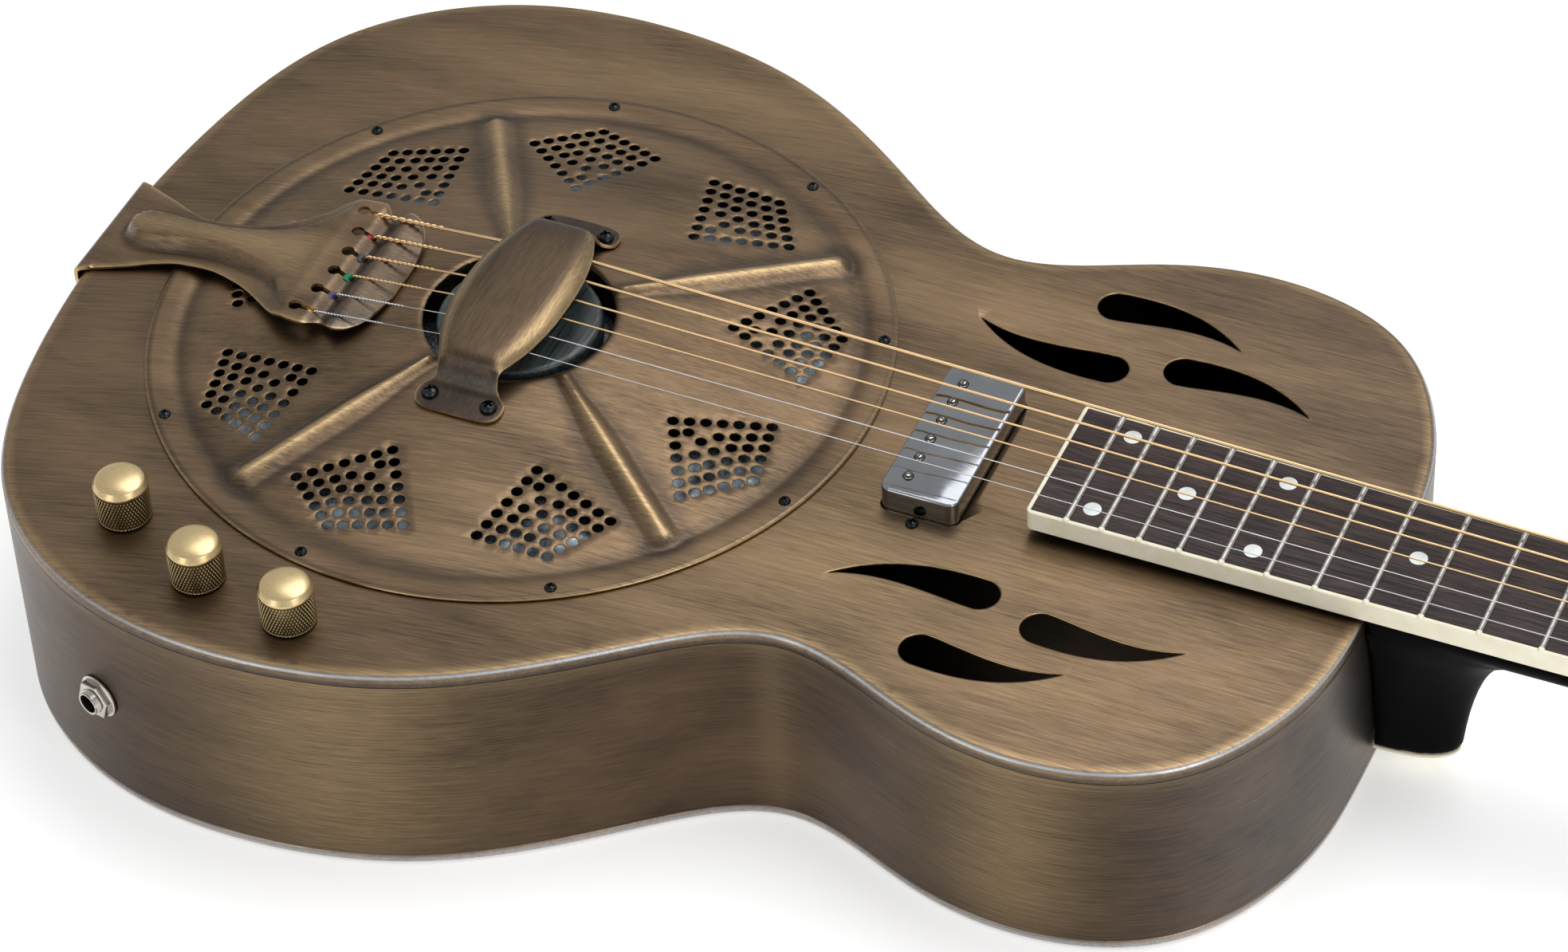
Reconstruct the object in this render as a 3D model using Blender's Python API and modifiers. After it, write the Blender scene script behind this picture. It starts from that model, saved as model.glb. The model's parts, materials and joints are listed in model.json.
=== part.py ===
"""Resonator guitar with a metal body, a twelve-fret neck and one pickup.

Millimetres are used for every dimension below and turned into metres when a mesh is made.
Most pieces are placed in the "top frame": its origin is the centre of the coverplate on the
top sheet, its X axis runs along the strings to the headstock, its Y axis to the bass side and
its Z axis out of the top. The top frame leans on the flat back by the taper of the body.
"""

import math

import bmesh
import bpy
import numpy as np
from mathutils import Vector

for old in list(bpy.data.objects):
    bpy.data.objects.remove(old, do_unlink=True)

MM = 0.001
GAP = 0.3  # clearance between pieces that lie against each other
MERGE_DISTANCE = 2e-6  # metres

# Body
BODY_DEPTH = 91.17  # at the coverplate centre, square to the top
BODY_TAPER = math.radians(1.375)  # the body gets thinner towards the neck
SHEET = 1.0
EDGE_RADIUS = 3.0
SKIRT = 4.5  # depth of the rolled edge of the top and of the back
BENDS = (0, 45, 90)  # angles at which the rolled edge is drawn
CUT = 9.0  # how far a cutter reaches past the top sheet on both sides
OUTLINE_STEPS = 88
STEPS_BETWEEN_KNOTS = 40
# Bass half of the outline, from the tail to the neck joint
HALF_OUTLINE = [
    (-164.3, 0.0),
    (-158.7, 67.9),
    (-135.4, 132.9),
    (-78.4, 173.2),
    (-31.2, 179.9),
    (33.7, 168.0),
    (94.9, 130.0),
    (143.3, 103.8),
    (195.3, 119.6),
    (241.0, 127.3),
    (288.2, 111.6),
    (311.8, 79.0),
    (320.4, 50.0),
    (322.2, 26.0),
    (322.6, 0.0),
]

# Resonator
TOP_HOLE_RADIUS = 124.0
PLATE_RADIUS = 133.0
PLATE_STEPS = 60
PLATE_THICKNESS = 1.0
PLATE_HOLE_RADIUS = 34.0
PLATE_CROWN = 11.3  # height of the edge of the centre hole above the top
RIB_ANGLES = (40.0, 120.0, -120.0, -40.0)
RIB_INNER = 37.5
RIB_OUTER = 118.0
RIB_HALF_WIDTH = 5.0
RIB_HEIGHT = 2.6
RIB_ROUND_END = 0.12  # share of a rib's length that its round end takes
GROOVE_OUTER = 124.0
GROOVE_INNER = 118.0
GROOVE_RISE = 0.6
WELL = [
    (131.0, -SHEET - GAP),
    (131.0, -2.4),
    (126.2, -2.4),
    (126.2, -12.0),
    (113.0, -12.0),
    (113.0, -11.0),
    (125.2, -11.0),
    (125.2, -SHEET - GAP),
]
BISCUIT_RADIUS = 29.5
BISCUIT_TOP = 10.3
BISCUIT_BOTTOM = -1.0
BISCUIT_EDGE = 1.6
CONE_SHEET = 0.5
CONE_RADIUS = 120.3
CONE_PROFILE = [(CONE_RADIUS, -10.6), (116, -10.6), (113, -8.6), (105, -9.6), (60, -4.9), (12, -1.5)]
SADDLE_HALF = (1.6, 27.1)
SADDLE_SLOT_HALF = (2.0, 27.5)
SADDLE_SLOT_DEPTH = 4.0

# Hand rest: y, height, half width along x, how far the long edges roll down
REST_SHEET = 1.2
REST_SECTIONS = [
    (-54.5, 10.5, 10.0, 0.0),
    (-52.5, 10.8, 14.5, 0.0),
    (-48.5, 11.3, 16.4, 0.0),
    (-44.5, 12.0, 15.6, 0.0),
    (-42.2, 14.4, 12.2, 0.3),
    (-40.4, 18.6, 11.6, 0.8),
    (-38.6, 22.2, 12.0, 1.6),
    (-35.6, 23.8, 13.4, 2.4),
    (-26.0, 24.7, 17.0, 2.6),
    (-14.0, 25.4, 19.6, 2.6),
    (0.0, 25.6, 20.4, 2.6),
]

# Tailpiece: x, base height, half width, half width of the raised spine, height of the spine
TAILPIECE_SHEET = 1.4
TAILPIECE_SECTIONS = [
    (-166.4, -57.0, 10.0, 2.0, 0.0),
    (-166.4, -53.0, 15.0, 2.0, 0.0),
    (-166.4, -14.0, 24.0, 3.0, 0.0),
    (-166.3, -1.2, 25.8, 4.0, 0.0),
    (-165.3, 1.2, 25.6, 5.0, 0.0),
    (-162.5, 2.0, 24.6, 6.0, 0.3),
    (-155.0, 2.6, 22.0, 9.0, 3.4),
    (-148.0, 3.0, 19.0, 9.6, 4.8),
    (-138.0, 3.8, 14.8, 8.6, 5.4),
    (-128.5, 4.7, 12.7, 7.6, 5.4),
    (-117.0, 6.0, 13.2, 8.0, 5.2),
    (-106.0, 7.0, 16.4, 10.0, 5.0),
    (-98.0, 8.2, 20.4, 12.5, 4.8),
    (-90.0, 9.8, 26.0, 17.0, 4.0),
    (-83.0, 12.4, 31.5, 25.0, 1.8),
    (-77.0, 14.2, 33.5, 30.0, 0.2),
    (-69.0, 14.2, 34.2, 30.0, 0.0),
    (-63.5, 12.2, 29.8, 28.0, 0.0),
    (-58.0, 13.9, 32.6, 28.0, 0.0),
    (-52.5, 13.2, 30.0, 24.0, 0.0),
    (-48.0, 12.2, 22.0, 16.0, 0.0),
    (-45.6, 11.8, 10.0, 6.0, 0.0),
]
STRAP_BUTTON_PLACE = (-167.2, 0, -44)
STRAP_PIN_RADIUS = 2.2
PIN_BORE_RADIUS = 2.6

# Sound holes: tip, direction from the round end to the tip in degrees and length
FLAMES = [
    ((146.1, 69.6), 177.5, 60.0),
    ((239.6, 84.1), 0.0, 56.8),
    ((273.3, 60.4), 0.0, 56.8),
]
FLAME_HALF_WIDTH = 7.4
FLAME_RISE = 7.3  # the round end lies this far to the side of the tip
FLAME_BOW = 5.5  # and the middle bows out this much further

# Strings and neck
SCALE_LENGTH = 635.0
SADDLE_X = 4.85
NUT_X = SADDLE_X + SCALE_LENGTH
FRETS = 19
BOARD_END_X = 202.4
BOARD_THICKNESS = 8.2
RISER_HALF = 26.0
BOARD_HALF_WIDTH_12 = 26.9
BOARD_WIDENING = 0.0123
BOARD_TOP_12 = 9.65
BOARD_PITCH = 0.015
FRET_HEIGHT = 1.0
FRET_WIDTH = 2.4
BINDING = 1.5
JOINT_X = 322.9
STRING_RADII = (0.66, 0.53, 0.41, 0.31, 0.22, 0.17)
STRING_HALF_SPREAD_TAIL = 27.2
STRING_HALF_SPREAD_SADDLE = 25.8
STRING_HALF_SPREAD_NUT = 19.4
STRING_TAIL_X = -63.0
STRING_TAIL_Z = 14.8
STRING_SADDLE_Z = 20.2
STRING_NUT_Z = 6.8
NECK_DEPTH = 16.5
NECK_FLAT = 0.16  # share of the neck's depth that its upright sides take
HEEL_BOTTOM = -75.0
HEEL_END = (10.4, 28.0)  # half width and reach of the heel at its lower end
HEEL_CAP = 2.0
STICK_HALF_WIDTH = 9.0
STICK_TOP = -18.5
STICK_BOTTOM = -47.0
TRUSS_ROD_RADIUS = 3.0
TRUSS_ROD_ENDS = (348.0, 652.0)

# Headstock, in a frame of its own that leans back from the nut
HEAD_TILT = math.radians(12.0)
HEAD_LENGTH = 165.0
HEAD_THICKNESS = 14.0
VENEER = 1.4
TUNER_X = (42.0, 84.0, 126.0)
TUNER_HALF_SPREAD = (24.0, 25.5, 27.0)
POST_RADIUS = 3.1
GEAR_RADIUS = 5.2
WORM_OFFSET = 8.4
WORM_HEIGHT = -5.5
POST_CLEARANCE = 0.5
STRING_LIFT = 6.5  # height of the first turn on a post

# Controls
KNOBS = {
    "volume": (-87.75, -130.9),
    "tone": (-49.75, -148.9),
    "blend": (-11.65, -155.7),
}
KNOB_RADIUS = 9.6
KNOB_TOP = 18.6
SHAFT_HOLE_RADIUS = 4.3
PICKUP_X = 165.0
PICKUP_HALF = (14.2, 33.5)
PICKUP_TOP = 9.3
POLE_X = 158.4
POLE_SPACING = 9.9
POLE_RADIUS = 1.6
PICKUP_CORNER = 4.0
PICKUP_CLEARANCE = 0.9
JACK_X = -81.6
JACK_Z = -47.0
JACK_BORE_RADIUS = 5.0


# Collections, materials and mesh helpers


def new_collection(name):
    collection = bpy.data.collections.new(name)
    bpy.context.scene.collection.children.link(collection)
    return collection


PARTS = new_collection("resonator_guitar")
CUTTERS = new_collection("cutters")
CUTTERS.hide_render = True


def new_material(name, colour, roughness, metallic=0.0):
    material = bpy.data.materials.new(name)
    material.use_nodes = True
    shader = material.node_tree.nodes["Principled BSDF"]
    shader.inputs["Base Color"].default_value = (*colour, 1.0)
    shader.inputs["Roughness"].default_value = roughness
    shader.inputs["Metallic"].default_value = metallic
    return material


AGED_BRASS = new_material("aged_brass", (0.23, 0.16, 0.09), 0.4, 1.0)
BRIGHT_BRASS = new_material("bright_brass", (0.66, 0.52, 0.26), 0.3, 1.0)
CHROME = new_material("chrome", (0.7, 0.7, 0.72), 0.12, 1.0)
NICKEL = new_material("nickel", (0.6, 0.58, 0.55), 0.25, 1.0)
ALUMINIUM = new_material("aluminium", (0.75, 0.76, 0.78), 0.3, 1.0)
STEEL = new_material("steel", (0.55, 0.55, 0.56), 0.25, 1.0)
BRONZE = new_material("bronze", (0.75, 0.5, 0.25), 0.3, 1.0)
BLACK_WOOD = new_material("black_wood", (0.012, 0.012, 0.013), 0.35)
ROSEWOOD = new_material("rosewood", (0.045, 0.028, 0.022), 0.55)
MAPLE = new_material("maple", (0.55, 0.38, 0.2), 0.5)
EBONISED = new_material("ebonised_wood", (0.03, 0.035, 0.035), 0.3)
CREAM = new_material("cream_plastic", (0.85, 0.8, 0.62), 0.35)
BONE = new_material("bone", (0.83, 0.8, 0.7), 0.4)
BLACK_PLASTIC = new_material("black_plastic", (0.02, 0.02, 0.02), 0.4)


def new_frame(name, location, rotation, parent=None):
    frame = bpy.data.objects.new(name, None)
    frame.location = Vector(location) * MM
    frame.rotation_euler = rotation
    frame.parent = parent
    frame.empty_display_size = 0.02
    PARTS.objects.link(frame)
    return frame


TOP_FRAME = new_frame("top_frame", (0, 0, BODY_DEPTH * math.cos(BODY_TAPER)), (0, BODY_TAPER, 0))


def link_mesh(name, mesh, material, parent, origin=(0, 0, 0), rotation=(0, 0, 0)):
    """Link a mesh given in millimetres as a part, with its normals turned outward."""
    work = bmesh.new()
    work.from_mesh(mesh)
    bmesh.ops.scale(work, vec=(MM, MM, MM), verts=work.verts)
    bmesh.ops.recalc_face_normals(work, faces=work.faces)
    work.to_mesh(mesh)
    work.free()
    part = bpy.data.objects.new(name, mesh)
    part.parent = parent
    part.location = Vector(origin) * MM
    part.rotation_euler = rotation
    if material is None:
        CUTTERS.objects.link(part)
        part.display_type = "WIRE"
    else:
        mesh.materials.append(material)
        PARTS.objects.link(part)
    return part


def from_faces(name, points, faces, material, parent=TOP_FRAME, **placing):
    mesh = bpy.data.meshes.new(name)
    mesh.from_pydata([tuple(p) for p in points], [], faces)
    return link_mesh(name, mesh, material, parent, **placing)


def loft(name, rings, material, closed=False, parent=TOP_FRAME, **placing):
    """Skin rings of equal length; the ends are capped unless the last ring joins the first."""
    count = len(rings[0])
    points = [point for ring in rings for point in ring]
    faces = []
    for r in range(len(rings) if closed else len(rings) - 1):
        here = r * count
        there = (r + 1) % len(rings) * count
        for k in range(count):
            n = (k + 1) % count
            faces.append((here + k, here + n, there + n, there + k))
    if not closed:
        last = (len(rings) - 1) * count
        faces.append(tuple(range(count))[::-1])
        faces.append(tuple(range(last, last + count)))
    return from_faces(name, points, faces, material, parent, **placing)


def lathe(name, profile, steps, material, closed=False, parent=TOP_FRAME, **placing):
    """Turn a (radius, height) profile about Z. A closed profile makes a ring."""
    turns = [2 * math.pi * k / steps for k in range(steps)]
    rings = [[(r * math.cos(a), r * math.sin(a), z) for a in turns] for r, z in profile]
    return loft(name, rings, material, closed, parent, **placing)


def prism(name, outline, low, high, material, parent=TOP_FRAME, **placing):
    """Stand an outline between two heights, each a number or a function of x and y."""
    floor = low if callable(low) else lambda x, y: low
    roof = high if callable(high) else lambda x, y: high
    rings = [[(x, y, level(x, y)) for x, y in outline] for level in (floor, roof)]
    return loft(name, rings, material, parent=parent, **placing)


def rod(name, start, end, radius, steps, material, parent=TOP_FRAME):
    """A cylinder between two points."""
    axis = Vector(end) - Vector(start)
    turn = axis.to_track_quat("Z", "Y").to_matrix()
    rings = []
    for base in (Vector(start), Vector(end)):
        angles = [2 * math.pi * k / steps for k in range(steps)]
        ring = [base + turn @ Vector((radius * math.cos(a), radius * math.sin(a), 0)) for a in angles]
        rings.append(ring)
    return loft(name, rings, material, parent=parent)


def apply_modifiers(part):
    bpy.context.view_layer.update()
    graph = bpy.context.evaluated_depsgraph_get()
    mesh = bpy.data.meshes.new_from_object(part.evaluated_get(graph))
    part.modifiers.clear()
    part.data = mesh


def boolean(part, others, operation):
    """Apply one boolean per cutter and keep the result as the part's mesh."""
    for other in others:
        modifier = part.modifiers.new(other.name, "BOOLEAN")
        modifier.operation = operation
        modifier.solver = "EXACT"
        modifier.object = other
    apply_modifiers(part)
    tidy = bmesh.new()
    tidy.from_mesh(part.data)
    bmesh.ops.remove_doubles(tidy, verts=tidy.verts, dist=MERGE_DISTANCE)
    bmesh.ops.dissolve_degenerate(tidy, edges=tidy.edges, dist=MERGE_DISTANCE / 2)
    tidy.to_mesh(part.data)
    tidy.free()
    for other in others:
        bpy.data.objects.remove(other, do_unlink=True)


def sheet_grid(name, rows, thickness, material, parent=TOP_FRAME):
    """A sheet of metal through a grid of points, thickened below the grid."""
    width = len(rows[0])
    points = [point for row in rows for point in row]
    faces = []
    for r in range(len(rows) - 1):
        for c in range(width - 1):
            a = r * width + c
            faces.append((a, a + 1, a + width + 1, a + width))
    mesh = bpy.data.meshes.new(name)
    mesh.from_pydata(points, [], faces)
    work = bmesh.new()
    work.from_mesh(mesh)
    bmesh.ops.scale(work, vec=(MM, MM, MM), verts=work.verts)
    work.to_mesh(mesh)
    work.free()
    part = bpy.data.objects.new(name, mesh)
    part.parent = parent
    mesh.materials.append(material)
    PARTS.objects.link(part)
    thicken = part.modifiers.new("thickness", "SOLIDIFY")
    thicken.thickness = thickness * MM
    thicken.offset = -1.0
    thicken.use_even_offset = True
    return part


# Outline of the body


def smooth_loop(points, count):
    """Points spread evenly along the smooth closed curve through the given points."""
    knots = np.array(points)
    size = len(knots)
    span = np.linalg.norm(np.roll(knots, -1, axis=0) - knots, axis=1)
    matrix = np.zeros((size, size))
    right = np.zeros((size, 2))
    for k in range(size):
        before = span[k - 1]
        after = span[k]
        slope_in = (knots[k] - knots[k - 1]) / before
        slope_out = (knots[(k + 1) % size] - knots[k]) / after
        matrix[k, k - 1] += after
        matrix[k, k] += 2 * (before + after)
        matrix[k, (k + 1) % size] += before
        right[k] = 3 * (after * slope_in + before * slope_out)
    tangent = np.linalg.solve(matrix, right)
    fine = []
    for k in range(size):
        n = (k + 1) % size
        for t in np.linspace(0, 1, STEPS_BETWEEN_KNOTS, endpoint=False):
            fine.append(
                (1 + 2 * t) * (1 - t) ** 2 * knots[k]
                + t * (1 - t) ** 2 * span[k] * tangent[k]
                + t * t * (3 - 2 * t) * knots[n]
                + t * t * (t - 1) * span[k] * tangent[n]
            )
    fine.append(fine[0])
    fine = np.array(fine)
    travelled = np.concatenate([[0], np.cumsum(np.linalg.norm(np.diff(fine, axis=0), axis=1))])
    stops = np.linspace(0, travelled[-1], count, endpoint=False)
    return np.stack([np.interp(stops, travelled, fine[:, axis]) for axis in (0, 1)], axis=1)


def inset(outline, distance):
    """The outline moved inward along its own normals."""
    along = np.roll(outline, -1, axis=0) - np.roll(outline, 1, axis=0)
    along /= np.linalg.norm(along, axis=1)[:, None]
    inward = np.stack([along[:, 1], -along[:, 0]], axis=1)
    return outline + distance * inward


MIRRORED = HALF_OUTLINE + [(x, -y) for x, y in HALF_OUTLINE[-2:0:-1]]
OUTLINE = smooth_loop(MIRRORED, OUTLINE_STEPS)


def back_height(x):
    """Height of the outside of the flat back in the top frame."""
    return -BODY_DEPTH + x * math.tan(BODY_TAPER)


# Body sheets


def pan(name, surface, direction):
    """A sheet with a rolled edge. Depths run from the surface into the body."""
    turns = [math.radians(a) for a in BENDS]
    outer = [(0.0, SKIRT)]
    outer += [(EDGE_RADIUS * (1 - math.cos(a)), EDGE_RADIUS * (1 - math.sin(a))) for a in turns]
    inner_radius = EDGE_RADIUS - SHEET
    inner = [
        (SHEET + inner_radius * (1 - math.cos(a)), SHEET + inner_radius * (1 - math.sin(a)))
        for a in turns[::-1]
    ]
    inner += [(SHEET, SKIRT)]
    rings = []
    for amount, depth in outer[::-1] + inner[::-1]:
        ring = [(x, y, surface(x) + direction * depth) for x, y in inset(OUTLINE, amount)]
        rings.append(ring)
    return loft(name, rings, AGED_BRASS)


def flame(tip, angle, length):
    """Outline of one flame-shaped sound hole: a round end drawn out to a bent tip."""
    radius = FLAME_HALF_WIDTH
    shaft = length - radius
    arc = [math.radians(a) for a in range(95, 266, 17)]
    start = -length + radius
    outline = [(start + radius * math.cos(a), FLAME_RISE + radius * math.sin(a)) for a in arc]
    fractions = (0.15, 0.32, 0.5, 0.68, 0.85)

    def edge(t, side):
        spine = FLAME_RISE + FLAME_BOW * t - (FLAME_RISE + FLAME_BOW) * t**3
        return (start + t * shaft, spine + side * radius * (1 - t**1.6))

    outline += [edge(t, -1) for t in fractions]
    outline += [(0.0, 0.0)]
    outline += [edge(t, 1) for t in fractions[::-1]]
    c, s = math.cos(math.radians(angle)), math.sin(math.radians(angle))
    return [(tip[0] + c * x - s * y, tip[1] + s * x + c * y) for x, y in outline]


def rounded_box(half_x, half_y, radius, centre=(0, 0), steps=3):
    outline = []
    for quarter, (sx, sy) in enumerate([(1, 1), (-1, 1), (-1, -1), (1, -1)]):
        for k in range(steps + 1):
            a = math.radians(90 * quarter + 90 * k / steps)
            x = centre[0] + sx * (half_x - radius) + radius * math.cos(a)
            y = centre[1] + sy * (half_y - radius) + radius * math.sin(a)
            outline.append((x, y))
    return outline


def build_body():
    top = pan("body_top", lambda x: 0.0, -1)
    cutters = [lathe("well_hole", [(TOP_HOLE_RADIUS, -CUT), (TOP_HOLE_RADIUS, CUT)], PLATE_STEPS, None)]
    for k, (tip, angle, length) in enumerate(FLAMES):
        bass = flame(tip, angle, length)
        cutters.append(prism(f"flame_bass_{k}", bass, -CUT, CUT, None))
        cutters.append(prism(f"flame_treble_{k}", [(x, -y) for x, y in bass], -CUT, CUT, None))
    half_x, half_y = (half + PICKUP_CLEARANCE for half in PICKUP_HALF)
    opening = rounded_box(half_x, half_y, PICKUP_CORNER, (PICKUP_X, 0))
    cutters.append(prism("pickup_hole", opening, -CUT, CUT, None))
    for name, (x, y) in KNOBS.items():
        cutters.append(rod(f"{name}_hole", (x, y, -CUT), (x, y, CUT), SHAFT_HOLE_RADIUS, 16, None))
    boolean(top, cutters, "DIFFERENCE")
    pan("body_back", back_height, 1)
    build_side()


def build_side():
    """The side band, cut for the neck stick, the jack and the pin of the strap button."""
    rings = []
    for amount in (0.0, SHEET):
        edge = inset(OUTLINE, amount)
        high = [(x, y, -SKIRT - GAP) for x, y in edge]
        low = [(x, y, back_height(x) + SKIRT + GAP) for x, y in edge]
        rings += [high, low] if amount else [low, high]
    side = loft("body_side", rings, AGED_BRASS, closed=True)
    half = STICK_HALF_WIDTH + 0.8
    slot = [(JOINT_X - 28, -half), (JOINT_X - 28, half), (JOINT_X + 22, half), (JOINT_X + 22, -half)]
    slot = prism("stick_slot", slot, STICK_BOTTOM - 3, STICK_TOP + 1.5, None)
    jack, outward = jack_place()
    bore = rod("jack_bore", jack - outward * CUT, jack + outward * CUT, JACK_BORE_RADIUS, 16, None)
    boolean(side, [slot, bore, pin_cutter("side_pin_bore")], "DIFFERENCE")


def pin_cutter(name):
    """A cutter for the pin of the strap button, through the tail end."""
    x, y, z = STRAP_BUTTON_PLACE
    return rod(name, (x - 13, y, z), (x + 17, y, z), PIN_BORE_RADIUS, 12, None)


def jack_place():
    """Where the jack crosses the treble side, and the way out of the side there."""
    for here, there in zip(OUTLINE, np.roll(OUTLINE, -1, axis=0)):
        if here[1] < 0 and there[0] <= JACK_X <= here[0]:
            share = (JACK_X - here[0]) / (there[0] - here[0])
            point = here + share * (there - here)
            along = there - here
            return Vector((*point, JACK_Z)), Vector((-along[1], along[0], 0)).normalized()
    raise ValueError("the jack is beside the body")


# Resonator


def plate_height(radius):
    """Height of the coverplate's upper face: a flat rim, a step and a shallow cone."""
    rim = GAP + PLATE_THICKNESS
    foot = rim + GROOVE_RISE
    if radius > GROOVE_OUTER:
        return rim
    if radius > GROOVE_INNER:
        return rim + GROOVE_RISE * (GROOVE_OUTER - radius) / (GROOVE_OUTER - GROOVE_INNER)
    return foot + (GROOVE_INNER - radius) * (PLATE_CROWN - foot) / (GROOVE_INNER - PLATE_HOLE_RADIUS)


def build_resonator():
    lathe("soundwell", WELL, 40, AGED_BRASS, closed=True)
    upper = [(r, z + CONE_SHEET) for r, z in CONE_PROFILE[::-1]]
    lathe("resonator_cone", CONE_PROFILE + upper, 40, ALUMINIUM, closed=True)
    build_biscuit()

    radii = [PLATE_RADIUS, GROOVE_OUTER, GROOVE_INNER, 95, 70, 50, PLATE_HOLE_RADIUS]
    upper = [(r, plate_height(r)) for r in radii]
    lower = [(r, z - PLATE_THICKNESS) for r, z in upper[::-1]]
    plate = lathe("coverplate", upper + lower, PLATE_STEPS, AGED_BRASS, closed=True)
    boolean(plate, [rib(f"rib_{k}", angle) for k, angle in enumerate(RIB_ANGLES)], "UNION")


def build_biscuit():
    """The wooden disc on the cone, slotted for the saddle, and the saddle in it."""
    soft = BISCUIT_EDGE
    biscuit = [(BISCUIT_RADIUS - soft, BISCUIT_BOTTOM), (BISCUIT_RADIUS, BISCUIT_BOTTOM + soft)]
    biscuit += [(BISCUIT_RADIUS, BISCUIT_TOP - soft), (BISCUIT_RADIUS - soft, BISCUIT_TOP)]
    disc = lathe("biscuit", biscuit, 40, EBONISED)
    slot_floor = BISCUIT_TOP - SADDLE_SLOT_DEPTH
    slot = rounded_box(*SADDLE_SLOT_HALF, 0.5, (SADDLE_X, 0), steps=1)
    boolean(disc, [prism("saddle_slot", slot, slot_floor, STRING_SADDLE_Z, None)], "DIFFERENCE")

    half_x, half_y = SADDLE_HALF
    bar = [(SADDLE_X + sx * half_x, sy * half_y) for sx, sy in ((-1, -1), (1, -1), (1, 1), (-1, 1))]
    saddle_top = STRING_SADDLE_Z - STRING_RADII[0] - GAP
    prism("saddle", bar, slot_floor + GAP, saddle_top, MAPLE)


def rib(name, angle):
    """One raised rib of the coverplate: a low bar with round ends that follows the cone."""
    rings = []
    for share in (0.0, 0.04, RIB_ROUND_END, 1 - RIB_ROUND_END, 0.96, 1.0):
        past = max(0.0, RIB_ROUND_END - min(share, 1 - share)) / RIB_ROUND_END
        swell = max(0.15, math.sqrt(1 - 0.98 * past * past))
        radius = RIB_INNER + share * (RIB_OUTER - RIB_INNER)
        base = plate_height(radius) - 0.6
        ring = []
        for t in (0, 40, 70, 90, 110, 140, 180):
            a = math.radians(t)
            across = RIB_HALF_WIDTH * swell * math.cos(a)
            ring.append((radius, across, base + RIB_HEIGHT * swell * math.sin(a)))
        rings.append(ring)
    return loft(name, rings, None, rotation=(0, 0, math.radians(angle)))


# Hand rest and tailpiece


def build_hand_rest():
    mirrored = [(-y, z, half, roll) for y, z, half, roll in REST_SECTIONS[-2::-1]]
    rows = []
    for y, z, half, roll in REST_SECTIONS + mirrored:
        row = []
        for u in (-1.0, -0.96, -0.84, -0.5, 0.0, 0.5, 0.84, 0.96, 1.0):
            drop = roll * max(0.0, (abs(u) - 0.5) / 0.5) ** 3
            row.append((u * half, y, z - drop))
        rows.append(row)
    sheet_grid("hand_rest", rows, REST_SHEET, AGED_BRASS)


def build_tailpiece():
    rows = []
    for x, z, half, spine, height in TAILPIECE_SECTIONS:
        row = []
        for y in (-half, -0.5 * (half + spine), -spine, -0.72 * spine, -0.35 * spine, 0.0):
            row.append((x, y, z + height * spine_profile(abs(y) / spine)))
        row += [(px, -py, pz) for px, py, pz in row[-2::-1]]
        rows.append(row[::-1])
    plate = sheet_grid("tailpiece", rows, TAILPIECE_SHEET, AGED_BRASS)
    apply_modifiers(plate)
    boolean(plate, [pin_cutter("tailpiece_pin_bore")], "DIFFERENCE")
    build_strap_button()


def build_strap_button():
    """The button whose pin holds the hook of the tailpiece to the tail."""
    button = [(6.5, 1.0), (6.0, 2.5), (3.4, 5.0), (3.4, 9.5), (6.6, 12.0), (7.0, 13.5), (5.0, 15.0)]
    screw = [(STRAP_PIN_RADIUS, -12.0), (STRAP_PIN_RADIUS, 0.99)]
    turn = (0, -math.pi / 2, 0)
    lathe("strap_button", screw + button, 14, NICKEL, origin=STRAP_BUTTON_PLACE, rotation=turn)


def spine_profile(t):
    """Cross-section of the raised spine, from 1 on its crest to 0 at its foot."""
    return 0.0 if t >= 1 else (1 + math.cos(math.pi * t)) / 2


# Neck


def board_top(x):
    return BOARD_TOP_12 - BOARD_PITCH * (x - SADDLE_X - SCALE_LENGTH / 2)


def board_bottom(x):
    return board_top(x) - BOARD_THICKNESS


def bottom_level(x, y):
    """The underside of the fingerboard, as a level for prism()."""
    return board_bottom(x)


def board_half(x):
    return BOARD_HALF_WIDTH_12 - BOARD_WIDENING * (x - SADDLE_X - SCALE_LENGTH / 2)


def fret_x(number):
    return SADDLE_X + SCALE_LENGTH / 2 ** (number / 12)


def build_fingerboard():
    start = BOARD_END_X + BINDING + 0.05
    end = NUT_X - 0.1
    upper = [(end, board_top(end))]
    for number in range(1, FRETS + 1):
        x = fret_x(number)
        half = FRET_WIDTH / 2
        z = board_top(x)
        upper += [(x + half, z), (x + half * 0.6, z + FRET_HEIGHT)]
        upper += [(x - half * 0.6, z + FRET_HEIGHT), (x - half, z)]
    upper += [(start, board_top(start)), (start, board_bottom(start)), (end, board_bottom(end))]
    inner = BINDING + 0.05
    rings = [[(x, side * (board_half(x) - inner), z) for x, z in upper] for side in (-1, 1)]
    loft("fingerboard", rings, ROSEWOOD)

    outer = [(NUT_X - 0.1, board_half(NUT_X)), (BOARD_END_X + 2, board_half(BOARD_END_X))]
    outer += [(BOARD_END_X, board_half(BOARD_END_X) - 2)]
    outline = outer + [(x, -y) for x, y in outer[::-1]]
    hole = [(NUT_X - 0.1, board_half(NUT_X) - BINDING)]
    hole += [(BOARD_END_X + BINDING, board_half(BOARD_END_X) - BINDING)]
    outline += [(x, -y) for x, y in hole] + hole[::-1]
    prism("fingerboard_binding", outline, bottom_level, lambda x, y: board_top(x) + 0.05, CREAM)


def neck_section(x, depth):
    """A rounded D: flat under the fingerboard, round below."""
    half = board_half(x)
    top = board_bottom(x) - GAP
    shoulder = top - NECK_FLAT * depth
    ring = [(x, half, top), (x, half, shoulder)]
    for a in (22, 45, 68, 90, 112, 135, 158):
        t = math.radians(a)
        z = shoulder - (1 - NECK_FLAT) * depth * math.sin(t) ** 0.9
        ring.append((x, half * math.cos(t), z))
    return ring + [(x, -half, shoulder), (x, -half, top)]


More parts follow.
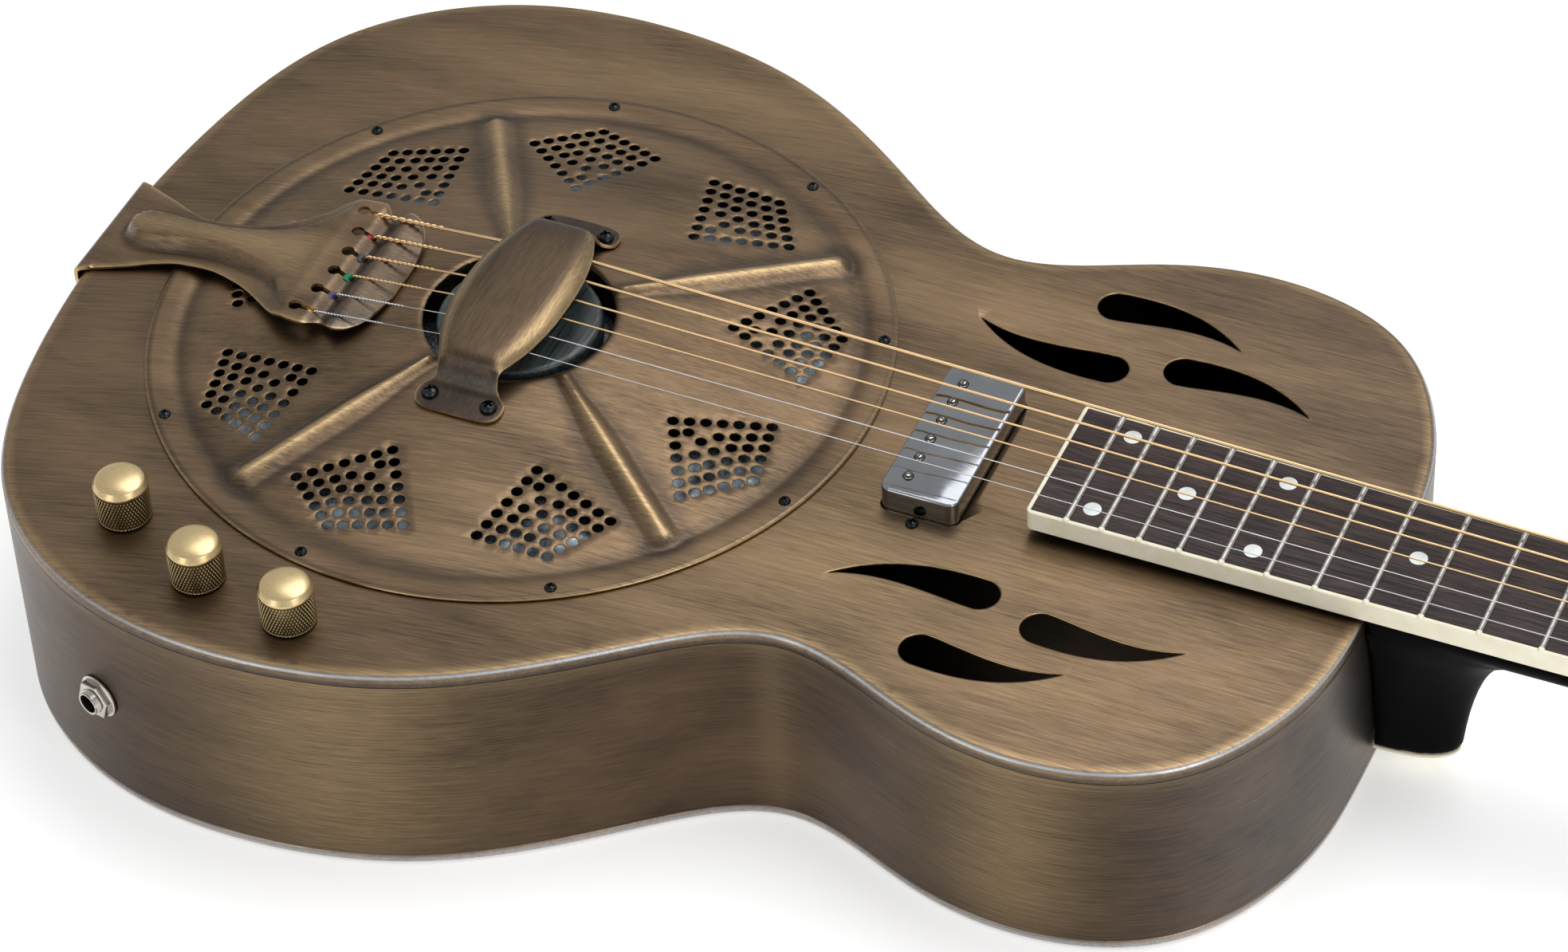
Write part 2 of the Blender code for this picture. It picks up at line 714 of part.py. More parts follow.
def joint_x(y):
    """The heel's face, curved to the end of the body."""
    return JOINT_X - 0.0006 * y * y


def heel_slice(z, half, reach):
    """One level of the heel: its face on the body and a half ellipse away from it."""
    across = [half * t for t in (-1, -0.6, -0.2, 0.2, 0.6, 1)]
    face = [(joint_x(y), y, z) for y in across]
    corner = joint_x(half)
    front = []
    for a in (65, 40, 20, 0, -20, -40, -65):
        t = math.radians(a)
        x = corner + (JOINT_X + reach - corner) * math.cos(t) ** 0.8
        front.append((x, half * math.sin(t), z))
    return face + front


def build_neck():
    """Shaft, heel, the riser under the board's end and the head, as one piece of wood."""
    stations = [(JOINT_X + 0.1, NECK_DEPTH + 1), (380, NECK_DEPTH), (500, NECK_DEPTH - 1)]
    stations += [(610, NECK_DEPTH - 2), (632, NECK_DEPTH - 3), (NUT_X + 4, NECK_DEPTH - 3)]
    neck = loft("neck", [neck_section(x, depth) for x, depth in stations], BLACK_WOOD)
    levels = [(-5, 26.0, 66), (-10, 24.0, 60), (-14, 22.4, 53), (-18, 21.0, 47), (-24, 19.3, 41)]
    levels += [(-32, 17.2, 36.5), (-42, 14.9, 33), (-56, 12.4, 30)]
    levels += [(HEEL_BOTTOM + HEEL_CAP + GAP, *HEEL_END)]
    heel = loft("heel", [heel_slice(*level) for level in levels], None)

    under_board = board_strip(BOARD_END_X + 4, JOINT_X + 17.3, RISER_HALF)
    riser = prism("riser", under_board, GAP, lambda x, y: board_bottom(x) - GAP, None)
    head = prism("head", head_outline(), -HEAD_THICKNESS - VENEER, -VENEER - 0.1, None, parent=HEAD_FRAME)
    boolean(neck, [heel, riser, head], "UNION")

    channel = board_strip(JOINT_X + 17.3, NUT_X + 20, 3.6)
    cutters = [prism("rod_channel", channel, lambda x, y: board_bottom(x) - 9.5, 30, None)]
    over_nut = board_strip(NUT_X - 8, NUT_X + 30, 40)
    cutters.append(prism("above_neck", over_nut, lambda x, y: board_bottom(x) - GAP / 2, 40, None))
    cutters += [post_cutter("neck", place) for place in tuner_places()]
    boolean(neck, cutters, "DIFFERENCE")
    build_neck_fittings()


def board_strip(start, end, half):
    """A straight strip along the neck, as an outline."""
    return [(start, -half), (end, -half), (end, half), (start, half)]


def post_cutter(piece, place):
    """A cutter for one tuner post through a piece of the head."""
    name, x, y = place
    radius = POST_RADIUS + POST_CLEARANCE
    return rod(f"{piece}_{name}", (x, y, -40), (x, y, CUT), radius, 14, None, HEAD_FRAME)


def build_neck_fittings():
    cap = [(x, y) for x, y, z in heel_slice(0, *HEEL_END)]
    prism("heel_cap", cap, HEEL_BOTTOM, HEEL_BOTTOM + HEEL_CAP, CREAM)
    stick = board_strip(-153, JOINT_X - 0.8, STICK_HALF_WIDTH)
    prism("neck_stick", stick, STICK_BOTTOM, STICK_TOP, MAPLE)
    start, end = TRUSS_ROD_ENDS
    middle = 5.0
    rod_start = (start, 0, board_bottom(start) - middle)
    rod_end = (end, 0, board_bottom(end) - middle)
    rod("truss_rod", rod_start, rod_end, TRUSS_ROD_RADIUS, 12, STEEL)


def head_outline():
    """Plain headstock with a waist at the nut and a low crown."""
    half = [(-1.0, 23.0), (14, 27.5), (26, 35.0), (40, 37.0), (140, 40.5), (156, 40.0), (160, 30)]
    half += [(HEAD_LENGTH, 10)]
    return half + [(x, -y) for x, y in half[::-1]]


def build_headstock():
    start = 6.5
    outline = [(max(x, start), y) for x, y in head_outline()]
    outline[0] = (start, 25.0)
    outline[-1] = (start, -25.0)
    veneer = prism("head_veneer", outline, -VENEER, 0, BLACK_WOOD, parent=HEAD_FRAME)
    pocket = [(0, -4.5), (24, -4.5), (24, 4.5), (0, 4.5)]
    cutters = [prism("rod_pocket", pocket, -9, 9, None, parent=HEAD_FRAME)]
    cutters += [post_cutter("veneer", place) for place in tuner_places()]
    boolean(veneer, cutters, "DIFFERENCE")

    cover = [(8, -8), (30, -5.5), (33, 0), (30, 5.5), (8, 8)]
    prism("truss_rod_cover", cover, GAP, 2.1, BLACK_PLASTIC, parent=HEAD_FRAME)

    block = board_strip(NUT_X + 0.2, NUT_X + 5.2, board_half(NUT_X))
    prism("nut", block, bottom_level, STRING_NUT_Z - STRING_RADII[0] - GAP, BONE)


# Strings and tuners


def tuner_places():
    """Name and place of every tuner post in the head frame; string 1 is the low one."""
    places = []
    for k in range(6):
        row = k if k < 3 else 5 - k
        side = 1 if k < 3 else -1
        places.append((f"tuner_{k + 1}", TUNER_X[row], side * TUNER_HALF_SPREAD[row]))
    return places


def spread(half, number):
    return half * (1 - 2 * (number - 1) / 5)


def build_strings():
    """Each string runs from the tailpiece over the saddle and the nut to one turn on its post."""
    to_top = TOP_FRAME.matrix_world.inverted() @ HEAD_FRAME.matrix_world
    for (name, x, y), radius in zip(tuner_places(), STRING_RADII):
        number = int(name[-1])
        path = [
            Vector((STRING_TAIL_X, spread(STRING_HALF_SPREAD_TAIL, number), STRING_TAIL_Z)),
            Vector((SADDLE_X, spread(STRING_HALF_SPREAD_SADDLE, number), STRING_SADDLE_Z)),
            Vector((NUT_X + 5.2, spread(STRING_HALF_SPREAD_NUT, number), STRING_NUT_Z)),
        ]
        side = 1 if y > 0 else -1
        coil = POST_RADIUS + radius + 0.25
        for k in range(11):
            a = math.radians(-side * 90 + side * 30 * k)
            lift = STRING_LIFT - k * (2 * radius + GAP) / 12
            point = Vector((x + coil * math.cos(a), y + coil * math.sin(a), lift)) * MM
            path.append((to_top @ point) / MM)
        tube(f"string_{number}", path, radius, BRONZE if number < 5 else STEEL)


def tube(name, path, radius, material, steps=6):
    """A round wire along a path, with mitred corners."""
    rings = []
    for k, point in enumerate(path):
        before = (point - path[k - 1]).normalized() if k else (path[1] - point).normalized()
        after = (path[k + 1] - point).normalized() if k + 1 < len(path) else before
        along = (before + after).normalized()
        side = along.cross(Vector((0, 0, 1))).normalized()
        up = side.cross(along)
        ring = []
        for step in range(steps):
            a = 2 * math.pi * (step + 0.5) / steps
            ring.append(point + radius * (math.cos(a) * side + math.sin(a) * up))
        rings.append(ring)
    return loft(name, rings, material)


def build_tuners():
    """A housing, a post with its gear and a button with its worm for each string."""
    above = HEAD_THICKNESS + VENEER + GAP
    for name, x, y in tuner_places():
        side = 1 if y > 0 else -1
        place = new_frame(f"{name}_frame", (x, y, -above), (0, 0, 0), HEAD_FRAME)

        shell = [(-7.5, -10), (13.5, -10), (13.5, 10), (-7.5, 10)]
        housing = prism(f"{name}_housing", shell, -12, 0, NICKEL, parent=place)
        hollow = [(-6.3, -9), (12.3, -9), (12.3, 9), (-6.3, 9)]
        hollow = prism(f"{name}_hollow", hollow, -10.8, 3, None, parent=place)
        worm_start = (WORM_OFFSET, 0, WORM_HEIGHT)
        worm_end = (WORM_OFFSET, side * 15, WORM_HEIGHT)
        port = rod(f"{name}_port", worm_start, worm_end, 2.5, 12, None, place)
        boolean(housing, [hollow, port], "DIFFERENCE")

        post = [(GEAR_RADIUS, -8.5), (GEAR_RADIUS, -2.5), (POST_RADIUS, -2.5), (POST_RADIUS, above + 4)]
        post += [(POST_RADIUS, above + 9), (POST_RADIUS + 0.9, above + 11.5), (2.4, above + 12)]
        lathe(f"{name}_post", post, 14, NICKEL, parent=place)

        stem = [(2.6, -7.5), (2.6, 5.5), (2.0, 5.5), (2.0, 14.5), (3.2, 15.5), (3.2, 17.5)]
        stem += [(4.6, 19.0), (6.6, 22.0), (7.0, 26.5), (6.0, 31.0), (3.0, 33.0)]
        turn = (-side * math.pi / 2, 0, 0)
        button = lathe(f"{name}_button", stem, 12, CREAM, parent=place, origin=worm_start, rotation=turn)
        flatten_button(button)


def flatten_button(button):
    """Press the round button flat and wide, past the end of its stem."""
    stem_end = 18.0
    widen, flatten = 1.35, 0.55
    for vertex in button.data.vertices:
        if vertex.co.z > stem_end * MM:
            vertex.co.x *= widen
            vertex.co.y *= flatten


# Electrics


def build_controls():
    for name, (x, y) in KNOBS.items():
        knob = [(3.0, -6.0), (3.0, 7.4), (7.0, 7.4), (7.0, GAP + 0.2), (KNOB_RADIUS, GAP + 0.2)]
        knob += [(KNOB_RADIUS, KNOB_TOP - 4.6), (KNOB_RADIUS - 1.0, KNOB_TOP - 3.0)]
        knob += [(KNOB_RADIUS - 3.6, KNOB_TOP - 0.9), (3.0, KNOB_TOP)]
        lathe(f"knob_{name}", knob, 20, BRIGHT_BRASS, origin=(x, y, 0))
        under = -SHEET - GAP
        pot = [(8.2, -11), (8.2, under), (4.0, under), (4.0, 5.8), (3.3, 5.8), (3.3, -7.5)]
        lathe(f"pot_{name}", pot, 20, NICKEL, origin=(x, y, 0))


def build_pickup():
    """A plated cover over a coil with six pole screws, on a bracket under the top."""
    centre = (PICKUP_X, 0)
    half_x, half_y = PICKUP_HALF
    shell = []
    for amount, z in ((0, -9.5), (0, PICKUP_TOP - 1.2), (0.4, PICKUP_TOP - 0.4), (1.2, PICKUP_TOP)):
        outline = rounded_box(half_x - amount, half_y - amount, PICKUP_CORNER - amount / 2, centre)
        shell.append([(x, y, z) for x, y in outline])
    cover = loft("pickup_cover", shell, CHROME)
    room = rounded_box(half_x - 1, half_y - 1, PICKUP_CORNER - 1, centre)
    cutters = [prism("coil_room", room, -15, PICKUP_TOP - 1, None)]
    poles = [POLE_SPACING * (k - 2.5) for k in range(6)]
    for k, y in enumerate(poles):
        cutters.append(rod(f"pole_hole_{k}", (POLE_X, y, 5), (POLE_X, y, 15), POLE_RADIUS + GAP, 10, None))
    boolean(cover, cutters, "DIFFERENCE")

    coil_box = rounded_box(half_x - 2, half_y - 2, PICKUP_CORNER - 1.5, centre)
    coil = prism("pickup_coils", coil_box, -9.5, PICKUP_TOP - 2, BLACK_PLASTIC)
    pins = []
    for k, y in enumerate(poles):
        pins.append(rod(f"pole_{k}", (POLE_X, y, 5), (POLE_X, y, PICKUP_TOP + 0.9), POLE_RADIUS, 10, None))
    boolean(coil, pins, "UNION")
    bracket = rounded_box(half_x - 1, half_y + 9, PICKUP_CORNER, centre)
    prism("pickup_bracket", bracket, -11.4, -9.8, NICKEL)


def build_jack():
    point, outward = jack_place()
    rotation = outward.to_track_quat("Z", "Y").to_euler()
    inside = -SHEET - 1.2
    socket = [(9.0, -26.0), (9.0, inside), (4.6, inside), (4.6, 6.0), (3.6, 6.0), (3.6, -24.0)]
    lathe("jack_socket", socket, 20, NICKEL, origin=point, rotation=rotation)
    washer = [(9.2, GAP), (9.2, 1.2), (7.0, 1.2), (7.0, 3.6), (4.9, 3.6), (4.9, GAP)]
    lathe("jack_nut", washer, 18, NICKEL, closed=True, origin=point, rotation=rotation)


HEAD_FRAME = new_frame(
    "head_frame",
    (NUT_X, 0, board_bottom(NUT_X) - GAP + 1.2),
    (0, HEAD_TILT + math.atan(BOARD_PITCH), 0),
    TOP_FRAME,
)
bpy.context.view_layer.update()

build_body()
build_resonator()
build_hand_rest()
build_tailpiece()
build_fingerboard()
build_neck()
build_headstock()
build_strings()
build_tuners()
build_controls()
build_pickup()
build_jack()
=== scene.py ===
import json
import math

import bmesh
import bpy
import numpy as np
from mathutils import Matrix, Vector, kdtree
from mathutils.geometry import delaunay_2d_cdt

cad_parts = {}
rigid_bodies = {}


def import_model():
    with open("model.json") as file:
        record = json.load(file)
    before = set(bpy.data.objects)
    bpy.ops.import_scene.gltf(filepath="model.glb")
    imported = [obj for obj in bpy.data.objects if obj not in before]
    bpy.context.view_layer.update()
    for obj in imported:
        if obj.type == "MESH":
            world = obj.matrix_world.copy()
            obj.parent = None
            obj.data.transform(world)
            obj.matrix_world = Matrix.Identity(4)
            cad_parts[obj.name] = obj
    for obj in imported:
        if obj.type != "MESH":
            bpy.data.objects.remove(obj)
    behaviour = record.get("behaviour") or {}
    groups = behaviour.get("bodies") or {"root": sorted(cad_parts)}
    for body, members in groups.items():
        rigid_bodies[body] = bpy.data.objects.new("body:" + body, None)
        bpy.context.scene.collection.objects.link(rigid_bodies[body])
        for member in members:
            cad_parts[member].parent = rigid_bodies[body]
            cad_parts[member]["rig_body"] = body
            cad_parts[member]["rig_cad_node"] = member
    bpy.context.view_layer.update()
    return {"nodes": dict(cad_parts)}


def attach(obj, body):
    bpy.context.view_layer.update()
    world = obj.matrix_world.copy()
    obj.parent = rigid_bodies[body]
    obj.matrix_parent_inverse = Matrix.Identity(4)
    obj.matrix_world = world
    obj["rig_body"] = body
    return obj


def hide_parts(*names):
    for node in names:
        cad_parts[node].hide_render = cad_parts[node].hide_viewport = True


# Looks of the resonator guitar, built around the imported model. Lengths below are millimetres, and
# become metres when a mesh is made. Most pieces are drawn in the "top frame", whose origin is the
# centre of the coverplate on the top sheet: X runs to the headstock, Y to the bass side and Z out
# of the top.

for old in list(bpy.data.objects):
    bpy.data.objects.remove(old, do_unlink=True)

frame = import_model()

MM = 0.001
GAP = 0.3  # room between neighbouring pieces

# Camera
CAMERA_PLACE = (725.4, -1245.5, 1344.7)
CAMERA_TURN = (47.159, 3.358, 23.589)
CAMERA_LENS = 124.1
SENSOR = 36.0

# Body
BODY_DEPTH = 91.17  # at the centre of the coverplate
BODY_TAPER = math.radians(1.375)
SHEET = 1.0
EDGE_RADIUS = 2.4
SKIRT = 4.5  # how far the rolled edge reaches down the side
BODY_BOX = ((-165, -180), (328, 180))  # corners of a box round the outline
OUTLINE_STEPS = 360
OUTLINE_EASE = 0.18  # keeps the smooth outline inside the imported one
TOP_SPACING = 7.0
HALF_OUTLINE = [  # bass half, from the tail end to the neck end
    (-164.3, 0.0),
    (-158.7, 67.9),
    (-135.4, 132.9),
    (-78.4, 173.2),
    (-31.2, 179.9),
    (33.7, 168.0),
    (94.9, 130.0),
    (143.3, 103.8),
    (195.3, 119.6),
    (241.0, 127.3),
    (288.2, 111.6),
    (311.8, 79.0),
    (320.4, 50.0),
    (322.2, 26.0),
    (322.6, 0.0),
]
FLAMES = [  # tip, turn and length on the bass side; each has a twin on the treble side
    ((146.1, 69.6), 177.5, 60.0),
    ((239.6, 84.1), 0.0, 56.8),
    ((273.3, 60.4), 0.0, 56.8),
]
FLAME_HALF_WIDTH = 7.4
FLAME_RISE = 7.3
FLAME_BEND = 5.5  # how far the middle of the flame leans before it comes down to its tip
CONTROL_HOLE_RADIUS = 4.3
PICKUP_ROOM = 0.35  # gap round the pickup in the top

# Resonator
TOP_HOLE_RADIUS = 124.0
PLATE_RADIUS = 133.0
PLATE_HOLE_RADIUS = 34.0
PLATE_RIM = GAP + 1.0
PLATE_SLOPE = 0.122
CONE_START = 117.0
GROOVE_RADIUS = 121.2
GROOVE_DEPTH = 0.7
GROOVE_WIDTH = 3.0
RIB_ANGLES = (40.0, 120.0, -120.0, -40.0)
RIB_INNER = 39.0
RIB_OUTER = 117.0
RIB_HALF_WIDTH = 6.6
RIB_HEIGHT = 2.7
PLATE_SHEET = 0.9
GROUP_ANGLES = tuple(20.0 + 40.0 * k for k in range(9))
PORT_RADIUS = 1.95
SCREW_CIRCLE = 128.35
SCREW_RADIUS = 2.15
SCREW_HEIGHT = 1.3
CONE_RADIUS = 120.2
CONE_RIM_Z = -9.8
CONE_SLOPE = 0.075
CONE_STEP = 9.5
BISCUIT_RADIUS = 29.5
BISCUIT_TOP = 10.3
BISCUIT_BOTTOM = -1.0

# Strings and neck
SCALE_LENGTH = 635.0
SADDLE_X = 4.85
NUT_X = SADDLE_X + SCALE_LENGTH
FRETS = 19
BOARD_END_X = 202.4
BOARD_THICKNESS = 8.2
RISER_HALF = 26.0
BOARD_HALF_WIDTH_12 = 26.9  # at the twelfth fret
BOARD_WIDENING = 0.0123
BOARD_TOP_12 = 9.65
BOARD_PITCH = 0.015  # fall of the board towards the nut
BINDING = 1.5
JOINT_X = 322.9
NECK_DEPTH = 16.5
HEEL_BOTTOM = -75.0
HEEL_END = (10.4, 28.0)  # half width and reach of the heel at its lower end
HEEL_CAP = 1.3
HEEL_LEVELS = [  # height, half width and reach, from the board down
    (-5, 26.2, 76),
    (-10, 24.4, 70),
    (-14, 22.9, 62),
    (-18, 21.4, 52.5),
    (-24, 19.7, 43.5),
    (-32, 17.6, 37.5),
    (-42, 15.3, 33.5),
    (-56, 12.8, 30.4),
    (HEEL_BOTTOM + 1.6, 10.7, 28.4),
]
STICK_SLOT = (9.8, -50, -17)  # half width, low and high of the opening for the neck stick
NECK_FLAT = 0.06  # share of the neck's depth that stands straight under the board
DOT_RADIUS = 3.15
DOT_PLACES = {19: 19.0, 17: 0.0, 15: 17.5, 12: 0.0, 9: 0.0, 7: 0.0, 5: 0.0}  # fret: place across
STRING_RADII = (0.66, 0.53, 0.41, 0.31, 0.22, 0.17)
STRING_HALF_SPREAD_TAIL = 27.2
STRING_HALF_SPREAD_SADDLE = 25.8
STRING_HALF_SPREAD_NUT = 19.4
STRING_TAIL_Z = 14.8
STRING_SADDLE_Z = 20.2
STRING_NUT_Z = 6.8
TWIST_LENGTH = 27.0

# Headstock
HEAD_TILT = math.radians(12.0)
HEAD_LENGTH = 165.0
HEAD_THICKNESS = 14.0
VENEER = 1.4
TUNER_X = (42.0, 84.0, 126.0)
TUNER_HALF_SPREAD = (24.0, 25.5, 27.0)
POST_RADIUS = 3.1
POST_TURN_STEPS = 58
WORM_OFFSET = 8.4

# Controls
KNOBS = {"volume": (-87.75, -130.9), "tone": (-49.75, -148.9), "blend": (-11.65, -155.7)}
KNOB_RADIUS = 9.6
KNOB_TOP = 18.6
KNURLS = 50
KNURL_PITCH = 2.5
PICKUP_X = 165.0
PICKUP_HALF = (14.2, 33.5)
PICKUP_TOP = 9.3
POLE_X = 158.4
POLE_Y = [9.9 * (k - 2.5) for k in range(6)]
POLE_TURNS = (12, 75, 40, -20, 85, 100)
PICKUP_SCREW = (164.7, 37.3)
JACK_BORE = 5.0
JACK_X = -81.6
JACK_Z = -47.0
BUTTON_X = -167.2
BUTTON_Z = -44.0
PIN_RADIUS = 2.6


# Shapes of the neck, the body and the headstock


def board_top(x):
    """Height of the fingerboard's face."""
    return BOARD_TOP_12 - BOARD_PITCH * (x - SADDLE_X - SCALE_LENGTH / 2)


def board_bottom(x):
    return board_top(x) - BOARD_THICKNESS


def board_half(x):
    """Half width of the fingerboard with its binding."""
    return BOARD_HALF_WIDTH_12 - BOARD_WIDENING * (x - SADDLE_X - SCALE_LENGTH / 2)


def fret_x(number):
    """Place of a fret, by equal temperament."""
    return SADDLE_X + SCALE_LENGTH / 2 ** (number / 12)


def move(x, y, z):
    return Matrix.Translation(Vector((x, y, z)) * MM)


# From the top frame, and from the frame of the headstock's face, to the world.
TOP = move(0, 0, BODY_DEPTH * math.cos(BODY_TAPER)) @ Matrix.Rotation(BODY_TAPER, 4, "Y")
HEAD_TURN = Matrix.Rotation(HEAD_TILT + math.atan(BOARD_PITCH), 4, "Y")
HEAD = TOP @ move(NUT_X, 0, board_bottom(NUT_X) - GAP + 1.2) @ HEAD_TURN


def hermite(t, here, there, slope_here, slope_there):
    """The cubic curve from one knot to the next, for t from 0 to 1."""
    return (
        (1 + 2 * t) * (1 - t) ** 2 * here
        + t * (1 - t) ** 2 * slope_here
        + t * t * (3 - 2 * t) * there
        + t * t * (t - 1) * slope_there
    )


def smooth_loop(points, count):
    """Points spread evenly along the smooth closed curve through the given points."""
    knots = np.array(points)
    size = len(knots)
    span = np.linalg.norm(np.roll(knots, -1, axis=0) - knots, axis=1)
    matrix = np.zeros((size, size))
    right = np.zeros((size, 2))
    for k in range(size):
        n = (k + 1) % size
        slope_in = (knots[k] - knots[k - 1]) / span[k - 1]
        slope_out = (knots[n] - knots[k]) / span[k]
        matrix[k, k - 1] += span[k]
        matrix[k, k] += 2 * (span[k - 1] + span[k])
        matrix[k, n] += span[k - 1]
        right[k] = 3 * (span[k] * slope_in + span[k - 1] * slope_out)
    tangent = np.linalg.solve(matrix, right)
    fine = []
    for k in range(size):
        n = (k + 1) % size
        for t in np.linspace(0, 1, 60, endpoint=False):
            slopes = (span[k] * tangent[k], span[k] * tangent[n])
            fine.append(hermite(t, knots[k], knots[n], *slopes))
    fine = np.array(fine + [fine[0]])
    travelled = np.concatenate([[0], np.cumsum(np.linalg.norm(np.diff(fine, axis=0), axis=1))])
    stops = np.linspace(0, travelled[-1], count, endpoint=False)
    return np.stack([np.interp(stops, travelled, fine[:, axis]) for axis in (0, 1)], axis=1)


def inset(outline, distance):
    """The outline moved inward along its own normals; the outline runs clockwise."""
    along = np.roll(outline, -1, axis=0) - np.roll(outline, 1, axis=0)
    along /= np.linalg.norm(along, axis=1)[:, None]
    inward = np.stack([along[:, 1], -along[:, 0]], axis=1)
    return outline + distance * inward


MIRRORED = HALF_OUTLINE + [(x, -y) for x, y in HALF_OUTLINE[-2:0:-1]]
OUTLINE = inset(smooth_loop(MIRRORED, OUTLINE_STEPS), OUTLINE_EASE)
STEP_LENGTH = np.linalg.norm(np.roll(OUTLINE, -1, axis=0) - OUTLINE, axis=1)
TRAVEL = np.concatenate([[0], np.cumsum(STEP_LENGTH)])


def smooth_step(share):
    """0 below 0, 1 above 1, and a smooth rise between."""
    share = min(1.0, max(0.0, share))
    return share * share * (3 - 2 * share)


def bell(value, centre, width):
    """1 at the centre, fading smoothly on both sides of it."""
    return math.exp(-(((value - centre) / width) ** 2))


def turned(x, y, degrees, centre=(0, 0)):
    """A point turned about the origin, then moved by the centre."""
    c, s = math.cos(math.radians(degrees)), math.sin(math.radians(degrees))
    return centre[0] + c * x - s * y, centre[1] + s * x + c * y


def with_mirror(outline):
    """One half of an outline, followed by its mirror image across the X axis."""
    return list(outline) + [(x, -y) for x, y in outline[::-1]]


def back_height(x):
    """Height of the flat back, which is tapered against the top."""
    return -BODY_DEPTH + x * math.tan(BODY_TAPER)


def flame(tip, angle, length):
    """Outline of one flame-shaped sound hole: a round end drawn out to a bent tip."""
    radius = FLAME_HALF_WIDTH
    shaft = length - radius
    start = radius - length
    outline = []
    for a in np.radians(np.linspace(95, 265, 22)):
        outline.append((start + radius * math.cos(a), FLAME_RISE + radius * math.sin(a)))
    fractions = np.linspace(0.07, 0.96, 18)

    def edge(t, side):
        spine = FLAME_RISE + FLAME_BEND * t - (FLAME_RISE + FLAME_BEND) * t**3
        return (start + t * shaft, spine + side * radius * (1 - t**1.6))

    outline += [edge(t, -1) for t in fractions] + [(0.0, 0.0)]
    outline += [edge(t, 1) for t in fractions[::-1]]
    return np.array([turned(x, y, angle, tip) for x, y in outline])


def box(low, high, half):
    """A rectangle from low to high along X, half wide on both sides."""
    return [(low, -half), (high, -half), (high, half), (low, half)]


def rounded_box(half_x, half_y, radius, centre, steps=6):
    """A rectangle with round corners."""
    outline = []
    for quarter, (sx, sy) in enumerate([(1, 1), (-1, 1), (-1, -1), (1, -1)]):
        for k in range(steps + 1):
            a = math.radians(90 * quarter + 90 * k / steps)
            x = centre[0] + sx * (half_x - radius) + radius * math.cos(a)
            y = centre[1] + sy * (half_y - radius) + radius * math.sin(a)
            outline.append((x, y))
    return np.array(outline)


def circle(radius, steps, centre=(0, 0)):
    a = 2 * math.pi * np.arange(steps) / steps
    return np.stack([centre[0] + radius * np.cos(a), centre[1] + radius * np.sin(a)], axis=1)


def grow(loop, distance):
    """A closed loop moved away from its own inside, whichever way it runs."""
    ahead = np.roll(loop, -1, axis=0)
    area = np.sum(loop[:, 0] * ahead[:, 1] - ahead[:, 0] * loop[:, 1])
    return inset(loop, distance if area > 0 else -distance)


# Materials

DARK_BRASS = (0.075, 0.05, 0.03)
LIGHT_BRASS = (0.265, 0.175, 0.098)
# Wear, and painted highlights
WEAR_AND_HIGHLIGHT_BRASS = (0.58, 0.41, 0.21)
# Bare metal, and painted glints and reflections
BARE_STEEL_AND_GLINT = (0.62, 0.65, 0.68)
# Patina, and painted shade
PATINA_AND_SHADE = (0.024, 0.021, 0.021)
SWEEP_END = 0.15  # metres from the centre of the body, where swept lines run straight


